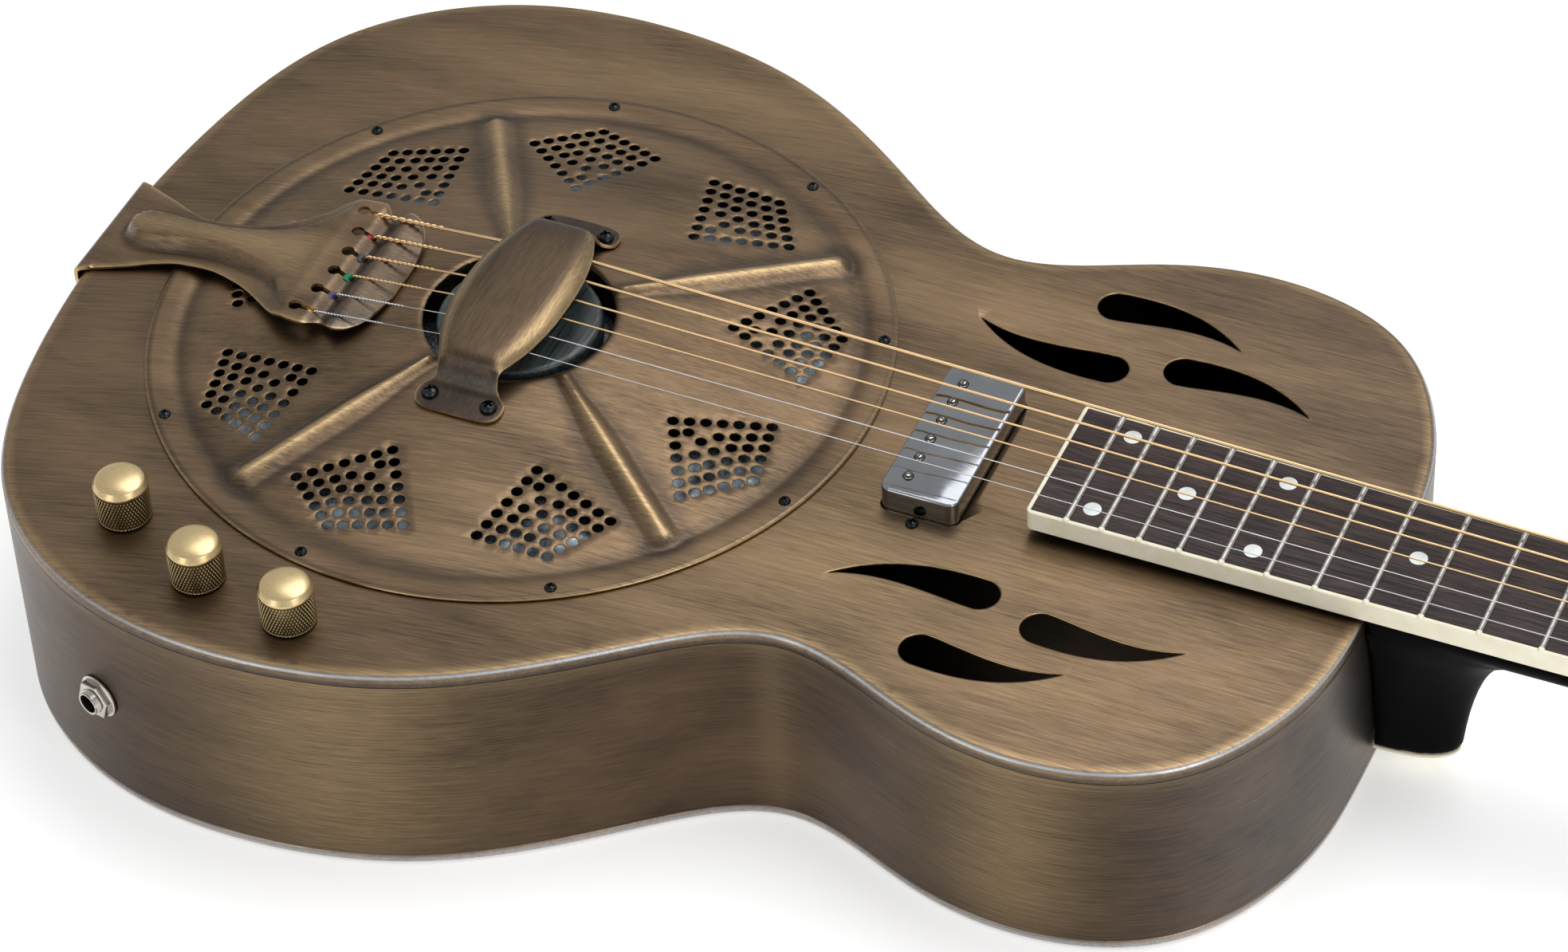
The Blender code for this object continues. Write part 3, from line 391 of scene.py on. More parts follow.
class Recipe:
    """One procedural material, built node by node on a Principled shader."""

    def __init__(self, name, roughness=0.4, metallic=0.0, **constants):
        self.material = bpy.data.materials.new(name)
        self.material.use_nodes = True
        self.tree = self.material.node_tree
        self.shader = self.tree.nodes["Principled BSDF"]
        self.set("Roughness", roughness)
        self.set("Metallic", metallic)
        for key, value in constants.items():
            self.set(key.replace("_", " "), value)

    def set(self, socket, value):
        self.feed(self.shader.inputs[socket], value)

    def feed(self, socket, value):
        if isinstance(value, bpy.types.NodeSocket):
            self.tree.links.new(value, socket)
        else:
            socket.default_value = value

    def node(self, kind, sockets=None, **settings):
        made = self.tree.nodes.new("ShaderNode" + kind)
        for key, value in settings.items():
            setattr(made, key, value)
        for key, value in (sockets or {}).items():
            self.feed(made.inputs[key], value)
        return made

    def place(self, stretch=(1, 1, 1), uv=False, sweep=0.0):
        """UV coordinates, or object coordinates levelled with the top of the body, stretched.

        sweep turns the lines towards the tail: the tangent of their angle at the body's centre.
        """
        source = self.node("TexCoord").outputs["UV" if uv else "Object"]
        if not uv:
            sockets = {"Vector": source, "Angle": -BODY_TAPER}
            source = self.node("VectorRotate", sockets, rotation_type="Y_AXIS").outputs[0]
        if sweep:
            x, y, z = self.node("SeparateXYZ", {"Vector": source}).outputs
            ahead = self.calc("MINIMUM", self.calc("SUBTRACT", x, SWEEP_END), 0.0)
            square = self.calc("MULTIPLY", ahead, ahead)
            y = self.calc("SUBTRACT", y, self.calc("MULTIPLY", square, -sweep / (2 * SWEEP_END)))
            source = self.node("CombineXYZ", {"X": x, "Y": y, "Z": z}).outputs[0]
        return self.node("Mapping", {"Vector": source, "Scale": stretch}).outputs["Vector"]

    def noise(self, vector, detail=3.0, roughness=0.55):
        sockets = {"Vector": vector, "Scale": 1.0, "Detail": detail, "Roughness": roughness}
        return self.node("TexNoise", sockets).outputs["Fac"]

    def mark(self, name):
        return self.node("Attribute", attribute_name=name).outputs["Fac"]

    def calc(self, operation, *values, clamp=False):
        made = self.node("Math", operation=operation, use_clamp=clamp)
        for socket, value in zip(made.inputs, values):
            self.feed(socket, value)
        return made.outputs[0]

    def sum(self, first, weight, second, other_weight):
        """Two values added, each with its weight."""
        parts = [self.calc("MULTIPLY", first, weight), self.calc("MULTIPLY", second, other_weight)]
        return self.calc("ADD", *parts)

    def range(self, value, low, high, to_low=0.0, to_high=1.0):
        sockets = {0: value, 1: low, 2: high, 3: to_low, 4: to_high}
        return self.node("MapRange", sockets, clamp=True).outputs[0]

    def blend(self, share, first, second):
        made = self.node("Mix", data_type="RGBA", blend_type="MIX")
        self.feed(made.inputs[0], share)
        for index, colour in ((6, first), (7, second)):
            if isinstance(colour, tuple):
                colour = (*colour, 1.0)
            self.feed(made.inputs[index], colour)
        return made.outputs[2]

    def bump(self, height, strength, distance):
        sockets = {"Height": height, "Strength": strength, "Distance": distance}
        self.set("Normal", self.node("Bump", sockets).outputs["Normal"])


def brushed_brass(
    name,
    along,
    uv=False,
    dark=DARK_BRASS,
    light=LIGHT_BRASS,
    streak=(4, 26, 26),
    sweep=0.0,
    coat=0.18,
):
    """Antique brass: brushed lines, cloudy patina, and marks for wear and patina, and for painted
    light and shade.

    along is the stretch of the lines, small along a line and large across it; streak is that of
    the clouds.
    """
    recipe = Recipe(name, metallic=1.0, Coat_Weight=coat, Coat_Roughness=0.32)
    coarse = recipe.noise(recipe.place(along, uv=uv, sweep=sweep), detail=6.0, roughness=0.7)
    finer = tuple(2.7 * value for value in along)
    fine = recipe.noise(recipe.place(finer, uv=uv, sweep=sweep), detail=3.0, roughness=0.7)
    lines = recipe.sum(coarse, 0.5, fine, 0.5)
    clouds = recipe.noise(recipe.place(streak), detail=4.0, roughness=0.55)
    share = recipe.sum(clouds, 0.5, lines, 0.6)
    base = recipe.blend(recipe.range(share, 0.42, 0.69), dark, light)

    # Lighter gold for wear and for painted highlights.
    scuff = recipe.range(lines, 0.38, 0.6, 0.35, 1.0)
    worn = recipe.calc("MULTIPLY", recipe.mark("worn"), scuff, clamp=True)
    base = recipe.blend(worn, base, WEAR_AND_HIGHLIGHT_BRASS)
    # Steely grey for bare metal and for painted glints and reflections.
    scuff = recipe.range(lines, 0.36, 0.55, 0.6, 1.0)
    steel = recipe.calc("MULTIPLY", recipe.mark("steel"), scuff)
    base = recipe.blend(steel, base, BARE_STEEL_AND_GLINT)
    # Near black for patina and for painted shade.
    scuff = recipe.range(lines, 0.3, 0.62, 1.0, 0.7)
    patina = recipe.calc("MULTIPLY", recipe.mark("patina"), scuff)
    base = recipe.blend(patina, base, PATINA_AND_SHADE)
    recipe.set("Base Color", base)

    rough = recipe.range(lines, 0.35, 0.65, 0.46, 0.34)
    recipe.set("Roughness", recipe.calc("SUBTRACT", rough, recipe.calc("MULTIPLY", worn, 0.06)))
    recipe.bump(lines, 0.1, 0.0003)
    return recipe.material


def bright_edge():
    """The cut edge of the brass sheet, rubbed bright."""
    recipe = Recipe("bright_edge", metallic=1.0, roughness=0.35)
    grain = recipe.noise(recipe.place((400, 400, 400)), detail=2.0)
    recipe.set("Base Color", recipe.blend(grain, (0.3, 0.2, 0.1), (0.8, 0.58, 0.3)))
    recipe.set("Roughness", recipe.range(grain, 0.3, 0.7, 0.28, 0.45))
    return recipe.material


def plated(name, colour, shadow, roughness):
    """Polished plating with faint haze and hairlines."""
    recipe = Recipe(name, metallic=1.0)
    haze = recipe.noise(recipe.place((60, 60, 60)), detail=3.0)
    hairs = recipe.noise(recipe.place((90, 2600, 2600)), detail=2.0)
    recipe.set("Base Color", recipe.blend(recipe.range(haze, 0.3, 0.7), shadow, colour))
    mixed = recipe.sum(haze, 0.6, hairs, 0.4)
    recipe.set("Roughness", recipe.range(mixed, 0.35, 0.65, roughness, roughness + 0.08))
    recipe.bump(hairs, 0.03, 0.0001)
    return recipe.material


def knob_brass():
    """Satin brass of the knobs, turned on the dome, with shade painted between the knurls."""
    recipe = Recipe("knob_brass", metallic=1.0)
    rings = recipe.noise(recipe.place((500, 3600, 1800)), detail=2.0)
    tint = recipe.blend(recipe.range(rings, 0.3, 0.7), (0.6, 0.455, 0.235), (0.7, 0.55, 0.3))
    tint = recipe.blend(recipe.mark("patina"), tint, (0.05, 0.035, 0.017))
    recipe.set("Base Color", tint)
    recipe.set("Roughness", recipe.range(rings, 0.3, 0.7, 0.3, 0.36))
    recipe.bump(rings, 0.03, 0.0001)
    return recipe.material


def wound_wire(name, colour, shadow, pitch):
    """A wound string: fine turns along its length."""
    recipe = Recipe(name, metallic=1.0)
    sockets = {"Vector": recipe.place(uv=True), "Scale": 0.31 / pitch, "Distortion": 0.0}
    turns = recipe.node("TexWave", sockets, bands_direction="X").outputs["Fac"]
    smudge = recipe.noise(recipe.place((30, 30, 30)), detail=2.0)
    tint = recipe.blend(recipe.range(turns, 0.05, 0.6), shadow, colour)
    recipe.set("Base Color", recipe.blend(recipe.calc("MULTIPLY", smudge, 0.25), tint, shadow))
    recipe.set("Roughness", recipe.range(smudge, 0.3, 0.7, 0.24, 0.36))
    recipe.bump(turns, 0.12, pitch * MM * 0.3)
    return recipe.material


def spun_aluminium():
    """The cone: spun rings and a soft grey haze over a near black that is painted shade."""
    recipe = Recipe("spun_aluminium", metallic=1.0)
    haze = recipe.noise(recipe.place((35, 35, 35)), detail=4.0)
    streaks = recipe.noise(recipe.place((900, 900, 900)), detail=2.0)
    share = recipe.range(haze, 0.42, 0.62)
    recipe.set("Base Color", recipe.blend(share, (0.05, 0.06, 0.07), (0.42, 0.5, 0.57)))
    recipe.set("Roughness", recipe.range(streaks, 0.3, 0.7, 0.22, 0.36))
    recipe.bump(streaks, 0.05, 0.0002)
    return recipe.material


def streaked_wood(name, dark, light, along, roughness, **constants):
    """Wood with pores and streaks along one direction."""
    recipe = Recipe(name, **constants)
    streaks = recipe.noise(recipe.place(along), detail=5.0, roughness=0.65)
    pores = recipe.noise(recipe.place(tuple(3.5 * value for value in along)), detail=2.0)
    clouds = recipe.noise(recipe.place((20, 20, 20)), detail=2.0)
    share = recipe.sum(streaks, 0.8, clouds, 0.2)
    tint = recipe.blend(recipe.range(share, 0.38, 0.66), dark, light)
    open_pores = recipe.range(pores, 0.56, 0.7)
    recipe.set("Base Color", recipe.blend(recipe.calc("MULTIPLY", open_pores, 0.6), tint, dark))
    recipe.set("Roughness", recipe.range(streaks, 0.3, 0.7, roughness + 0.08, roughness - 0.06))
    recipe.bump(recipe.calc("SUBTRACT", streaks, open_pores), 0.12, 0.0002)
    return recipe.material


def lacquer(name, colour, tint, roughness, coat, shine):
    """Black finish over wood, with faint orange peel and smudges."""
    recipe = Recipe(name, Coat_Weight=coat, Coat_Roughness=0.08, Specular_IOR_Level=shine)
    smudge = recipe.noise(recipe.place((14, 14, 14)), detail=3.0)
    peel = recipe.noise(recipe.place((420, 420, 420)), detail=2.0)
    recipe.set("Base Color", recipe.blend(recipe.range(smudge, 0.3, 0.7), colour, tint))
    recipe.set("Roughness", recipe.range(smudge, 0.3, 0.7, roughness, roughness + 0.1))
    recipe.bump(peel, 0.04, 0.0002)
    return recipe.material


def plastic(name, colour, tint, roughness, subsurface=0.0):
    """Moulded or sawn plastic, bone or pearl, faintly mottled."""
    recipe = Recipe(name, Subsurface_Weight=subsurface, Subsurface_Scale=0.003)
    mottle = recipe.noise(recipe.place((120, 40, 120)), detail=4.0)
    grain = recipe.noise(recipe.place((900, 900, 900)), detail=2.0)
    recipe.set("Base Color", recipe.blend(recipe.range(mottle, 0.32, 0.7), colour, tint))
    recipe.set("Roughness", recipe.range(mottle, 0.3, 0.7, roughness, roughness + 0.12))
    recipe.bump(grain, 0.03, 0.0001)
    return recipe.material


def floor_paper():
    """White studio paper that shines a little by itself."""
    recipe = Recipe("floor_paper", roughness=0.9, Emission_Strength=0.36)
    grain = recipe.noise(recipe.place((300, 300, 300)), detail=3.0)
    recipe.set("Base Color", recipe.blend(grain, (0.88, 0.88, 0.88), (0.91, 0.91, 0.91)))
    recipe.set("Emission Color", (1.0, 1.0, 1.0, 1.0))
    return recipe.material


TOP_BRASS = brushed_brass("aged_brass_top", (34, 900, 900), streak=(9, 30, 30), sweep=0.17)
# The side's brass is painted darker than the top's, as shade on its upright faces.
SHADED_SIDE_BRASS = brushed_brass(
    "aged_brass_side_shaded",
    (0.03, 1.5, 1.0),
    uv=True,
    dark=(0.022, 0.014, 0.009),
    light=(0.11, 0.07, 0.041),
    coat=0.06,
)
BACK_BRASS = brushed_brass("aged_brass_back", (20, 800, 800))
PLATE_BRASS = brushed_brass("aged_brass_plate", (32, 950, 650), streak=(10, 30, 30), sweep=0.17)
CROSS_BRASS = brushed_brass(
    "aged_brass_rest",
    (1500, 60, 900),
    dark=(0.055, 0.038, 0.024),
    light=(0.19, 0.126, 0.073),
    streak=(30, 12, 24),
)
TAIL_BRASS = brushed_brass("aged_brass_tail", (60, 1300, 900), streak=(14, 60, 40))
# The same brass inside the body, painted near black as shade.
SHADED_INNER_BRASS = brushed_brass(
    "aged_brass_inside_shaded", (20, 700, 700), dark=(0.02, 0.015, 0.01), light=(0.05, 0.035, 0.022)
)
BRIGHT_EDGE = bright_edge()
KNOB_BRASS = knob_brass()
CHROME = plated("chrome", (0.31, 0.325, 0.345), (0.26, 0.272, 0.29), 0.03)
NICKEL = plated("nickel", (0.62, 0.59, 0.54), (0.42, 0.39, 0.35), 0.16)
STEEL = plated("plain_steel", (0.68, 0.69, 0.71), (0.5, 0.5, 0.52), 0.2)
BLACK_SCREW = plated("black_screw", (0.04, 0.045, 0.048), (0.015, 0.016, 0.018), 0.2)
# Near black painted as shade in recesses: the pole screws' slots and the inside of the jack.
RECESS_SHADE = plated("painted_recess_shade", (0.012, 0.012, 0.012), (0.006, 0.006, 0.006), 0.6)
BRONZE = wound_wire("wound_bronze", (0.86, 0.6, 0.33), (0.72, 0.49, 0.26), 0.3)
FRET_METAL = plated("fret_metal", (0.5, 0.49, 0.46), (0.36, 0.35, 0.33), 0.24)
SHADED_ALUMINIUM = spun_aluminium()
ROSEWOOD = streaked_wood(
    "rosewood",
    (0.006, 0.004, 0.005),
    (0.07, 0.043, 0.038),
    along=(60, 1400, 1400),
    roughness=0.5,
    Specular_IOR_Level=0.25,
)
EBONISED = streaked_wood(
    "ebonised_wood",
    (0.003, 0.005, 0.006),
    (0.065, 0.085, 0.085),
    along=(900, 40, 900),
    roughness=0.3,
)
MAPLE = streaked_wood(
    "maple", (0.35, 0.2, 0.09), (0.62, 0.42, 0.22), along=(10, 160, 160), roughness=0.45
)
NECK_BLACK = lacquer(
    "black_satin_wood",
    (0.003, 0.0028, 0.0028),
    (0.0045, 0.004, 0.004),
    roughness=0.4,
    coat=0.0,
    shine=0.012,
)
HEAD_BLACK = lacquer(
    "black_gloss_wood",
    (0.005, 0.005, 0.006),
    (0.01, 0.01, 0.011),
    roughness=0.12,
    coat=0.8,
    shine=0.5,
)
CREAM = plastic("cream_binding", (0.86, 0.81, 0.66), (0.78, 0.71, 0.53), 0.3, 0.15)
BONE = plastic("bone", (0.86, 0.82, 0.72), (0.78, 0.73, 0.62), 0.35, 0.1)
PEARL = plastic("pearl_dots", (0.62, 0.68, 0.68), (0.86, 0.86, 0.83), 0.15)
BLACK_PLASTIC = plastic("black_plastic", (0.012, 0.012, 0.012), (0.022, 0.022, 0.022), 0.3)
BUTTON_CREAM = plastic("button_cream", (0.85, 0.8, 0.66), (0.76, 0.69, 0.52), 0.25, 0.15)
SILKS = [
    plastic("silk_brown", (0.35, 0.2, 0.08), (0.25, 0.14, 0.05), 0.5),
    plastic("silk_red", (0.42, 0.03, 0.03), (0.25, 0.015, 0.015), 0.5),
    plastic("silk_black", (0.03, 0.03, 0.03), (0.05, 0.05, 0.05), 0.5),
    plastic("silk_green", (0.008, 0.2, 0.08), (0.006, 0.1, 0.045), 0.5),
    plastic("silk_purple", (0.07, 0.06, 0.17), (0.04, 0.035, 0.1), 0.5),
    plated("brass_ball", (0.85, 0.66, 0.36), (0.6, 0.45, 0.2), 0.2),
]


# Meshes


def build(name, points, faces, material, place=TOP, marks=None, uv=None, sharp=35):
    """Make an object from points in millimetres. marks holds one number a point for each name."""
    mesh = bpy.data.meshes.new(name)
    mesh.from_pydata([place @ (Vector(p) * MM) for p in points], [], [tuple(f) for f in faces])
    for key, values in (marks or {}).items():
        store = mesh.attributes.new(key, "FLOAT", "POINT")
        store.data.foreach_set("value", np.array(values, np.float32))
    if uv is not None:
        layer = mesh.uv_layers.new(name="UVMap")
        layer.data.foreach_set("uv", np.array(uv, np.float32).ravel())
    materials = material if isinstance(material, list) else [material]
    for each in materials:
        mesh.materials.append(each)
    mesh.shade_smooth()
    mesh.set_sharp_from_angle(angle=math.radians(sharp))
    made = bpy.data.objects.new(name, mesh)
    bpy.context.scene.collection.objects.link(made)
    return made


def row_faces(here, there):
    """Quads from one closed row of points to the next."""
    faces = []
    for k in range(len(here)):
        n = (k + 1) % len(here)
        faces.append((here[k], here[n], there[n], there[k]))
    return faces


def grid_faces(rows, width):
    """Quads of a grid of points, given row by row."""
    faces = []
    for r in range(rows - 1):
        for c in range(width - 1):
            a = r * width + c
            faces.append((a, a + 1, a + width + 1, a + width))
    return faces


def loft_faces(rings, count, closed=False, capped=True):
    """Faces through rings of points; a closed loft joins its last ring to the first."""
    rows = [range(r * count, (r + 1) * count) for r in range(rings)]
    faces = []
    for here, there in zip(rows, rows[1:] + rows[:1] if closed else rows[1:]):
        faces += row_faces(here, there)
    if capped and not closed:
        faces.append(tuple(rows[0])[::-1])
        faces.append(tuple(rows[-1]))
    return faces


def outward(made):
    """Turn the normals of a closed mesh outward."""
    work = bmesh.new()
    work.from_mesh(made.data)
    bmesh.ops.recalc_face_normals(work, faces=work.faces)
    work.to_mesh(made.data)
    work.free()
    return made


def loft(name, rings, material, closed=False, **options):
    """A skin over rings of points, with its ends capped unless it is closed."""
    points = [point for ring in rings for point in ring]
    faces = loft_faces(len(rings), len(rings[0]), closed)
    return outward(build(name, points, faces, material, **options))


def level_ring(radius, height, steps):
    """A level circle of points."""
    turns = 2 * math.pi * np.arange(steps) / steps
    return [(radius * math.cos(a), radius * math.sin(a), height) for a in turns]


def lathe(name, profile, steps, material, closed=False, **options):
    """Turn a (radius, height) profile about Z."""
    rings = [level_ring(radius, height, steps) for radius, height in profile]
    return loft(name, rings, material, closed, **options)


def rounded(corners, radius, steps=5):
    """A (radius, height) profile with its inner corners rounded; the two ends stay."""
    path = [Vector(corners[0])]
    for before, corner, after in zip(corners, corners[1:], corners[2:]):
        corner = Vector(corner)
        back = Vector(before) - corner
        ahead = Vector(after) - corner
        reach = min(radius, back.length * 0.49, ahead.length * 0.49)
        start = corner + back.normalized() * reach
        end = corner + ahead.normalized() * reach
        for k in range(steps + 1):
            t = k / steps
            path.append((1 - t) ** 2 * start + 2 * t * (1 - t) * corner + t * t * end)
    return [tuple(p) for p in path + [Vector(corners[-1])]]


def prism(name, outline, low, high, material, ease=0.0, **options):
    """Stand an outline between two heights, with its rims eased by a small round."""
    floor = low if callable(low) else lambda x: low
    roof = high if callable(high) else lambda x: high
    outline = np.array(outline, float)
    if not ease:
        levels = [(0.0, floor, 0.0), (0.0, roof, 0.0)]
    else:
        turns = np.radians((0, 30, 60, 90))
        under = [(ease * (1 - math.sin(a)), floor, ease * (1 - math.cos(a))) for a in turns]
        over = [(ease * (1 - math.sin(a)), roof, -ease * (1 - math.cos(a))) for a in turns[::-1]]
        levels = under + over
    rings = []
    for amount, level, shift in levels:
        loop = grow(outline, -amount) if amount else outline
        rings.append([(x, y, level(x) + shift) for x, y in loop])
    return loft(name, rings, material, **options)


def tube(name, path, radius, material, steps=10):
    """A round wire along a path, with u along its length in millimetres."""
    path = [Vector(p) for p in path]
    rings = []
    travelled = [0.0]
    up = None
    for k, point in enumerate(path):
        before = (point - path[k - 1]).normalized() if k else (path[1] - point).normalized()
        after = (path[k + 1] - point).normalized() if k + 1 < len(path) else before
        along = (before + after).normalized()
        if up is None:
            up = along.orthogonal().normalized()
        else:
            up = (up - up.dot(along) * along).normalized()
        side = along.cross(up)
        turns = [2 * math.pi * step / steps for step in range(steps)]
        rings.append([point + radius * (math.cos(a) * side + math.sin(a) * up) for a in turns])
        if k:
            travelled.append(travelled[-1] + (point - path[k - 1]).length)
    faces = loft_faces(len(rings), steps)
    uv = []
    for face in faces:
        uv += [(travelled[index // steps], index % steps / steps) for index in face]
    points = [point for ring in rings for point in ring]
    return outward(build(name, points, faces, material, uv=uv, sharp=60))


def flat_tree(places):
    """A search tree over flat points."""
    tree = kdtree.KDTree(len(places))
    for k, (x, y) in enumerate(places):
        tree.insert((x, y, 0), k)
    tree.balance()
    return tree


def cut_sheet(outer, holes, inner_points, eases, clear):
    """Triangles of a flat sheet: inside outer, outside the holes, through the inner points.

    Each hole gets further rows of points, at the eases away from its edge. Returns the points,
    the triangles, the place of each outer point and the points on a hole's edge.
    """
    rows = [outer] + holes
    points = np.concatenate(rows)
    edges = []
    start = 0
    for loop in rows:
        size = len(loop)
        edges += [(start + k, start + (k + 1) % size) for k in range(size)]
        start += size
    borders = [grow(hole, ease) for hole in holes for ease in eases]
    fixed = np.concatenate([points] + borders)
    near = flat_tree(fixed)
    kept = [p for p in inner_points if near.find((p[0], p[1], 0))[2] > clear]
    every = np.concatenate([fixed, np.array(kept)])
    made = delaunay_2d_cdt([Vector(p) for p in every], edges, [], 0, 1e-4, True)
    places = np.array([tuple(v) for v in made[0]])
    faces = np.array(made[2])
    centres = places[faces].mean(axis=1)
    kept_faces = contains(outer, centres)
    for hole in holes:
        kept_faces &= ~contains(hole, centres)
    where = {}
    on_hole = np.zeros(len(places), bool)
    for index, sources in enumerate(made[3]):
        for source in sources:
            if source < len(outer):
                where[source] = index
            elif source < len(points):
                on_hole[index] = True
    faces = faces[kept_faces]
    used = np.unique(faces)
    renumber = np.full(len(places), -1)
    renumber[used] = np.arange(len(used))
    border = [int(renumber[where[k]]) for k in range(len(outer))]
    return places[used], renumber[faces].tolist(), border, on_hole[used]


def contains(loop, points):
    """Which of the points lie inside a closed loop."""
    low, high = loop.min(axis=0), loop.max(axis=0)
    near = np.flatnonzero(np.all((points > low) & (points < high), axis=1))
    x, y = points[near, 0][:, None], points[near, 1][:, None]
    ahead = np.roll(loop, -1, axis=0)
    crosses = (loop[:, 1] > y) != (ahead[:, 1] > y)
    height = np.where(ahead[:, 1] == loop[:, 1], 1.0, ahead[:, 1] - loop[:, 1])
    reach = loop[:, 0] + (y - loop[:, 1]) * (ahead[:, 0] - loop[:, 0]) / height
    result = np.zeros(len(points), bool)
    result[near] = np.sum(crosses & (x < reach), axis=1) % 2 == 1
    return result


def lattice(low, high, spacing):
    """Points of a triangular grid over a box."""
    rows = []
    step = spacing * math.sqrt(3) / 2
    for r, y in enumerate(np.arange(low[1], high[1], step)):
        offset = spacing / 2 if r % 2 else 0.0
        rows += [(x, y) for x in np.arange(low[0] + offset, high[0], spacing)]
    return rows


def thicken(made, thickness, rim=0, inner=0):
    """Give an open sheet its thickness, below its surface; rim and inner count up its materials."""
    solidify = made.modifiers.new("thickness", "SOLIDIFY")
    solidify.thickness = thickness * MM
    solidify.offset = -1.0
    solidify.use_even_offset = True
    solidify.material_offset_rim = rim
    solidify.material_offset = inner
    return made


def boolean(made, cutters, operation="DIFFERENCE"):
    """Cut pieces away from a mesh, or join them to it; the cutters are used up."""
    for cutter in cutters:
        modifier = made.modifiers.new(cutter.name, "BOOLEAN")
        modifier.operation = operation
        modifier.object = cutter
    apply_modifiers(made)
    for cutter in cutters:
        bpy.data.objects.remove(cutter, do_unlink=True)
    return made


def apply_modifiers(made):
    """Make what the modifiers show the object's own mesh."""
    bpy.context.view_layer.update()
    graph = bpy.context.evaluated_depsgraph_get()
    mesh = bpy.data.meshes.new_from_object(made.evaluated_get(graph))
    made.modifiers.clear()
    made.data = mesh
    return made


def shade(made, sharp):
    made.data.shade_smooth()
    made.data.set_sharp_from_angle(angle=math.radians(sharp))
    return made


def finish(made, slot, *nodes, body="guitar"):
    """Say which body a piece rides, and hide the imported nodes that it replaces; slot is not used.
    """
    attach(made, body)
    if nodes:
        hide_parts(*nodes)
    return made


def dress(material, *nodes):
    """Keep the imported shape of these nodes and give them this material."""
    for node in nodes:
        mesh = frame["nodes"][node].data
        mesh.materials.clear()
        mesh.materials.append(material)


def bevel_rims(made, width, segments=2, angle=50):
    """Round the edges that are sharper than the angle."""
    bevel = made.modifiers.new("round", "BEVEL")
    bevel.width = width * MM
    bevel.segments = segments
    bevel.limit_method = "ANGLE"
    bevel.angle_limit = math.radians(angle)
    bevel.use_clamp_overlap = True


def softened(node, material, width, slot="nickel"):
    """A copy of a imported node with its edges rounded."""
    made = frame["nodes"][node].copy()
    made.data = frame["nodes"][node].data.copy()
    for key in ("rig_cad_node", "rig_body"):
        del made[key]
    made.name = f"{node}_fine"
    made.parent = None
    made.matrix_world = Matrix.Identity(4)
    bpy.context.scene.collection.objects.link(made)
    work = bmesh.new()
    work.from_mesh(made.data)
    bmesh.ops.remove_doubles(work, verts=work.verts, dist=1e-6)
    work.to_mesh(made.data)
    work.free()
    made.data.materials.clear()
    made.data.materials.append(material)
    bevel_rims(made, width, 3, 40)
    apply_modifiers(made)
    shade(made, 50)
    return finish(made, slot, node)


def smooth_rows(sections, steps):
    """Rows of numbers between the given ones, along a smooth curve through each column."""
    knots = np.array(sections, float)
    slopes = np.zeros_like(knots)
    slopes[1:-1] = (knots[2:] - knots[:-2]) / 2
    rise = np.diff(knots, axis=0)
    flat = rise[:-1] * rise[1:] <= 0
    slopes[1:-1][flat] = 0
    limit = 3 * np.minimum(np.abs(rise[:-1]), np.abs(rise[1:]))
    slopes[1:-1] = np.clip(slopes[1:-1], -limit, limit)
    slopes[0] = rise[0]
    slopes[-1] = rise[-1]
    rows = []
    for k in range(len(knots) - 1):
        for t in np.arange(steps) / steps:
            rows.append(hermite(t, knots[k], knots[k + 1], slopes[k], slopes[k + 1]))
    rows.append(knots[-1])
    return np.array(rows)


def screw_head(name, radius, height, place):
    """A domed black head with a cross recess."""
    turns = 32
    points = [(0, 0, height)]
    for share in (0.12, 0.24, 0.36, 0.48, 0.6, 0.74, 0.88, 0.97, 1.0):
        points += level_ring(radius * share, height * math.sqrt(max(0.0, 1.03 - share**2.6)), turns)
    faces = [(0, 1 + k, 1 + (k + 1) % turns) for k in range(turns)]
    for face in loft_faces(len(points) // turns, turns, capped=False):
        faces.append(tuple(1 + index for index in face[::-1]))
    for index, (x, y, z) in enumerate(points):
        u, v = abs(x) / radius, abs(y) / radius
        if min(u, v) < 0.13 and max(u, v) < 0.56:
            points[index] = (x, y, z - 0.55 * height)
    base = len(points)
    points += [(x, y, -0.6) for x, y, z in points[-turns:]]
    rim = range(base - turns, base)
    foot = range(base, base + turns)
    faces += row_faces(foot, rim)
    faces.append(tuple(foot)[::-1])
    made = outward(build(name, points, faces, BLACK_SCREW, place=place, sharp=50))
    return finish(made, "black_plastic")


# Body


def top_holes():
    """Outlines of the well, the flames, the pickup and the controls in the top."""
    holes = [circle(TOP_HOLE_RADIUS, 180)]
    for tip, angle, length in FLAMES:
        shape = flame(tip, angle, length)
        holes += [shape, shape * (1, -1)]
    half_x, half_y = PICKUP_HALF
    holes.append(rounded_box(half_x + PICKUP_ROOM, half_y + PICKUP_ROOM, 4.0, (PICKUP_X, 0)))
    return holes + [circle(CONTROL_HOLE_RADIUS, 24, place) for place in KNOBS.values()]


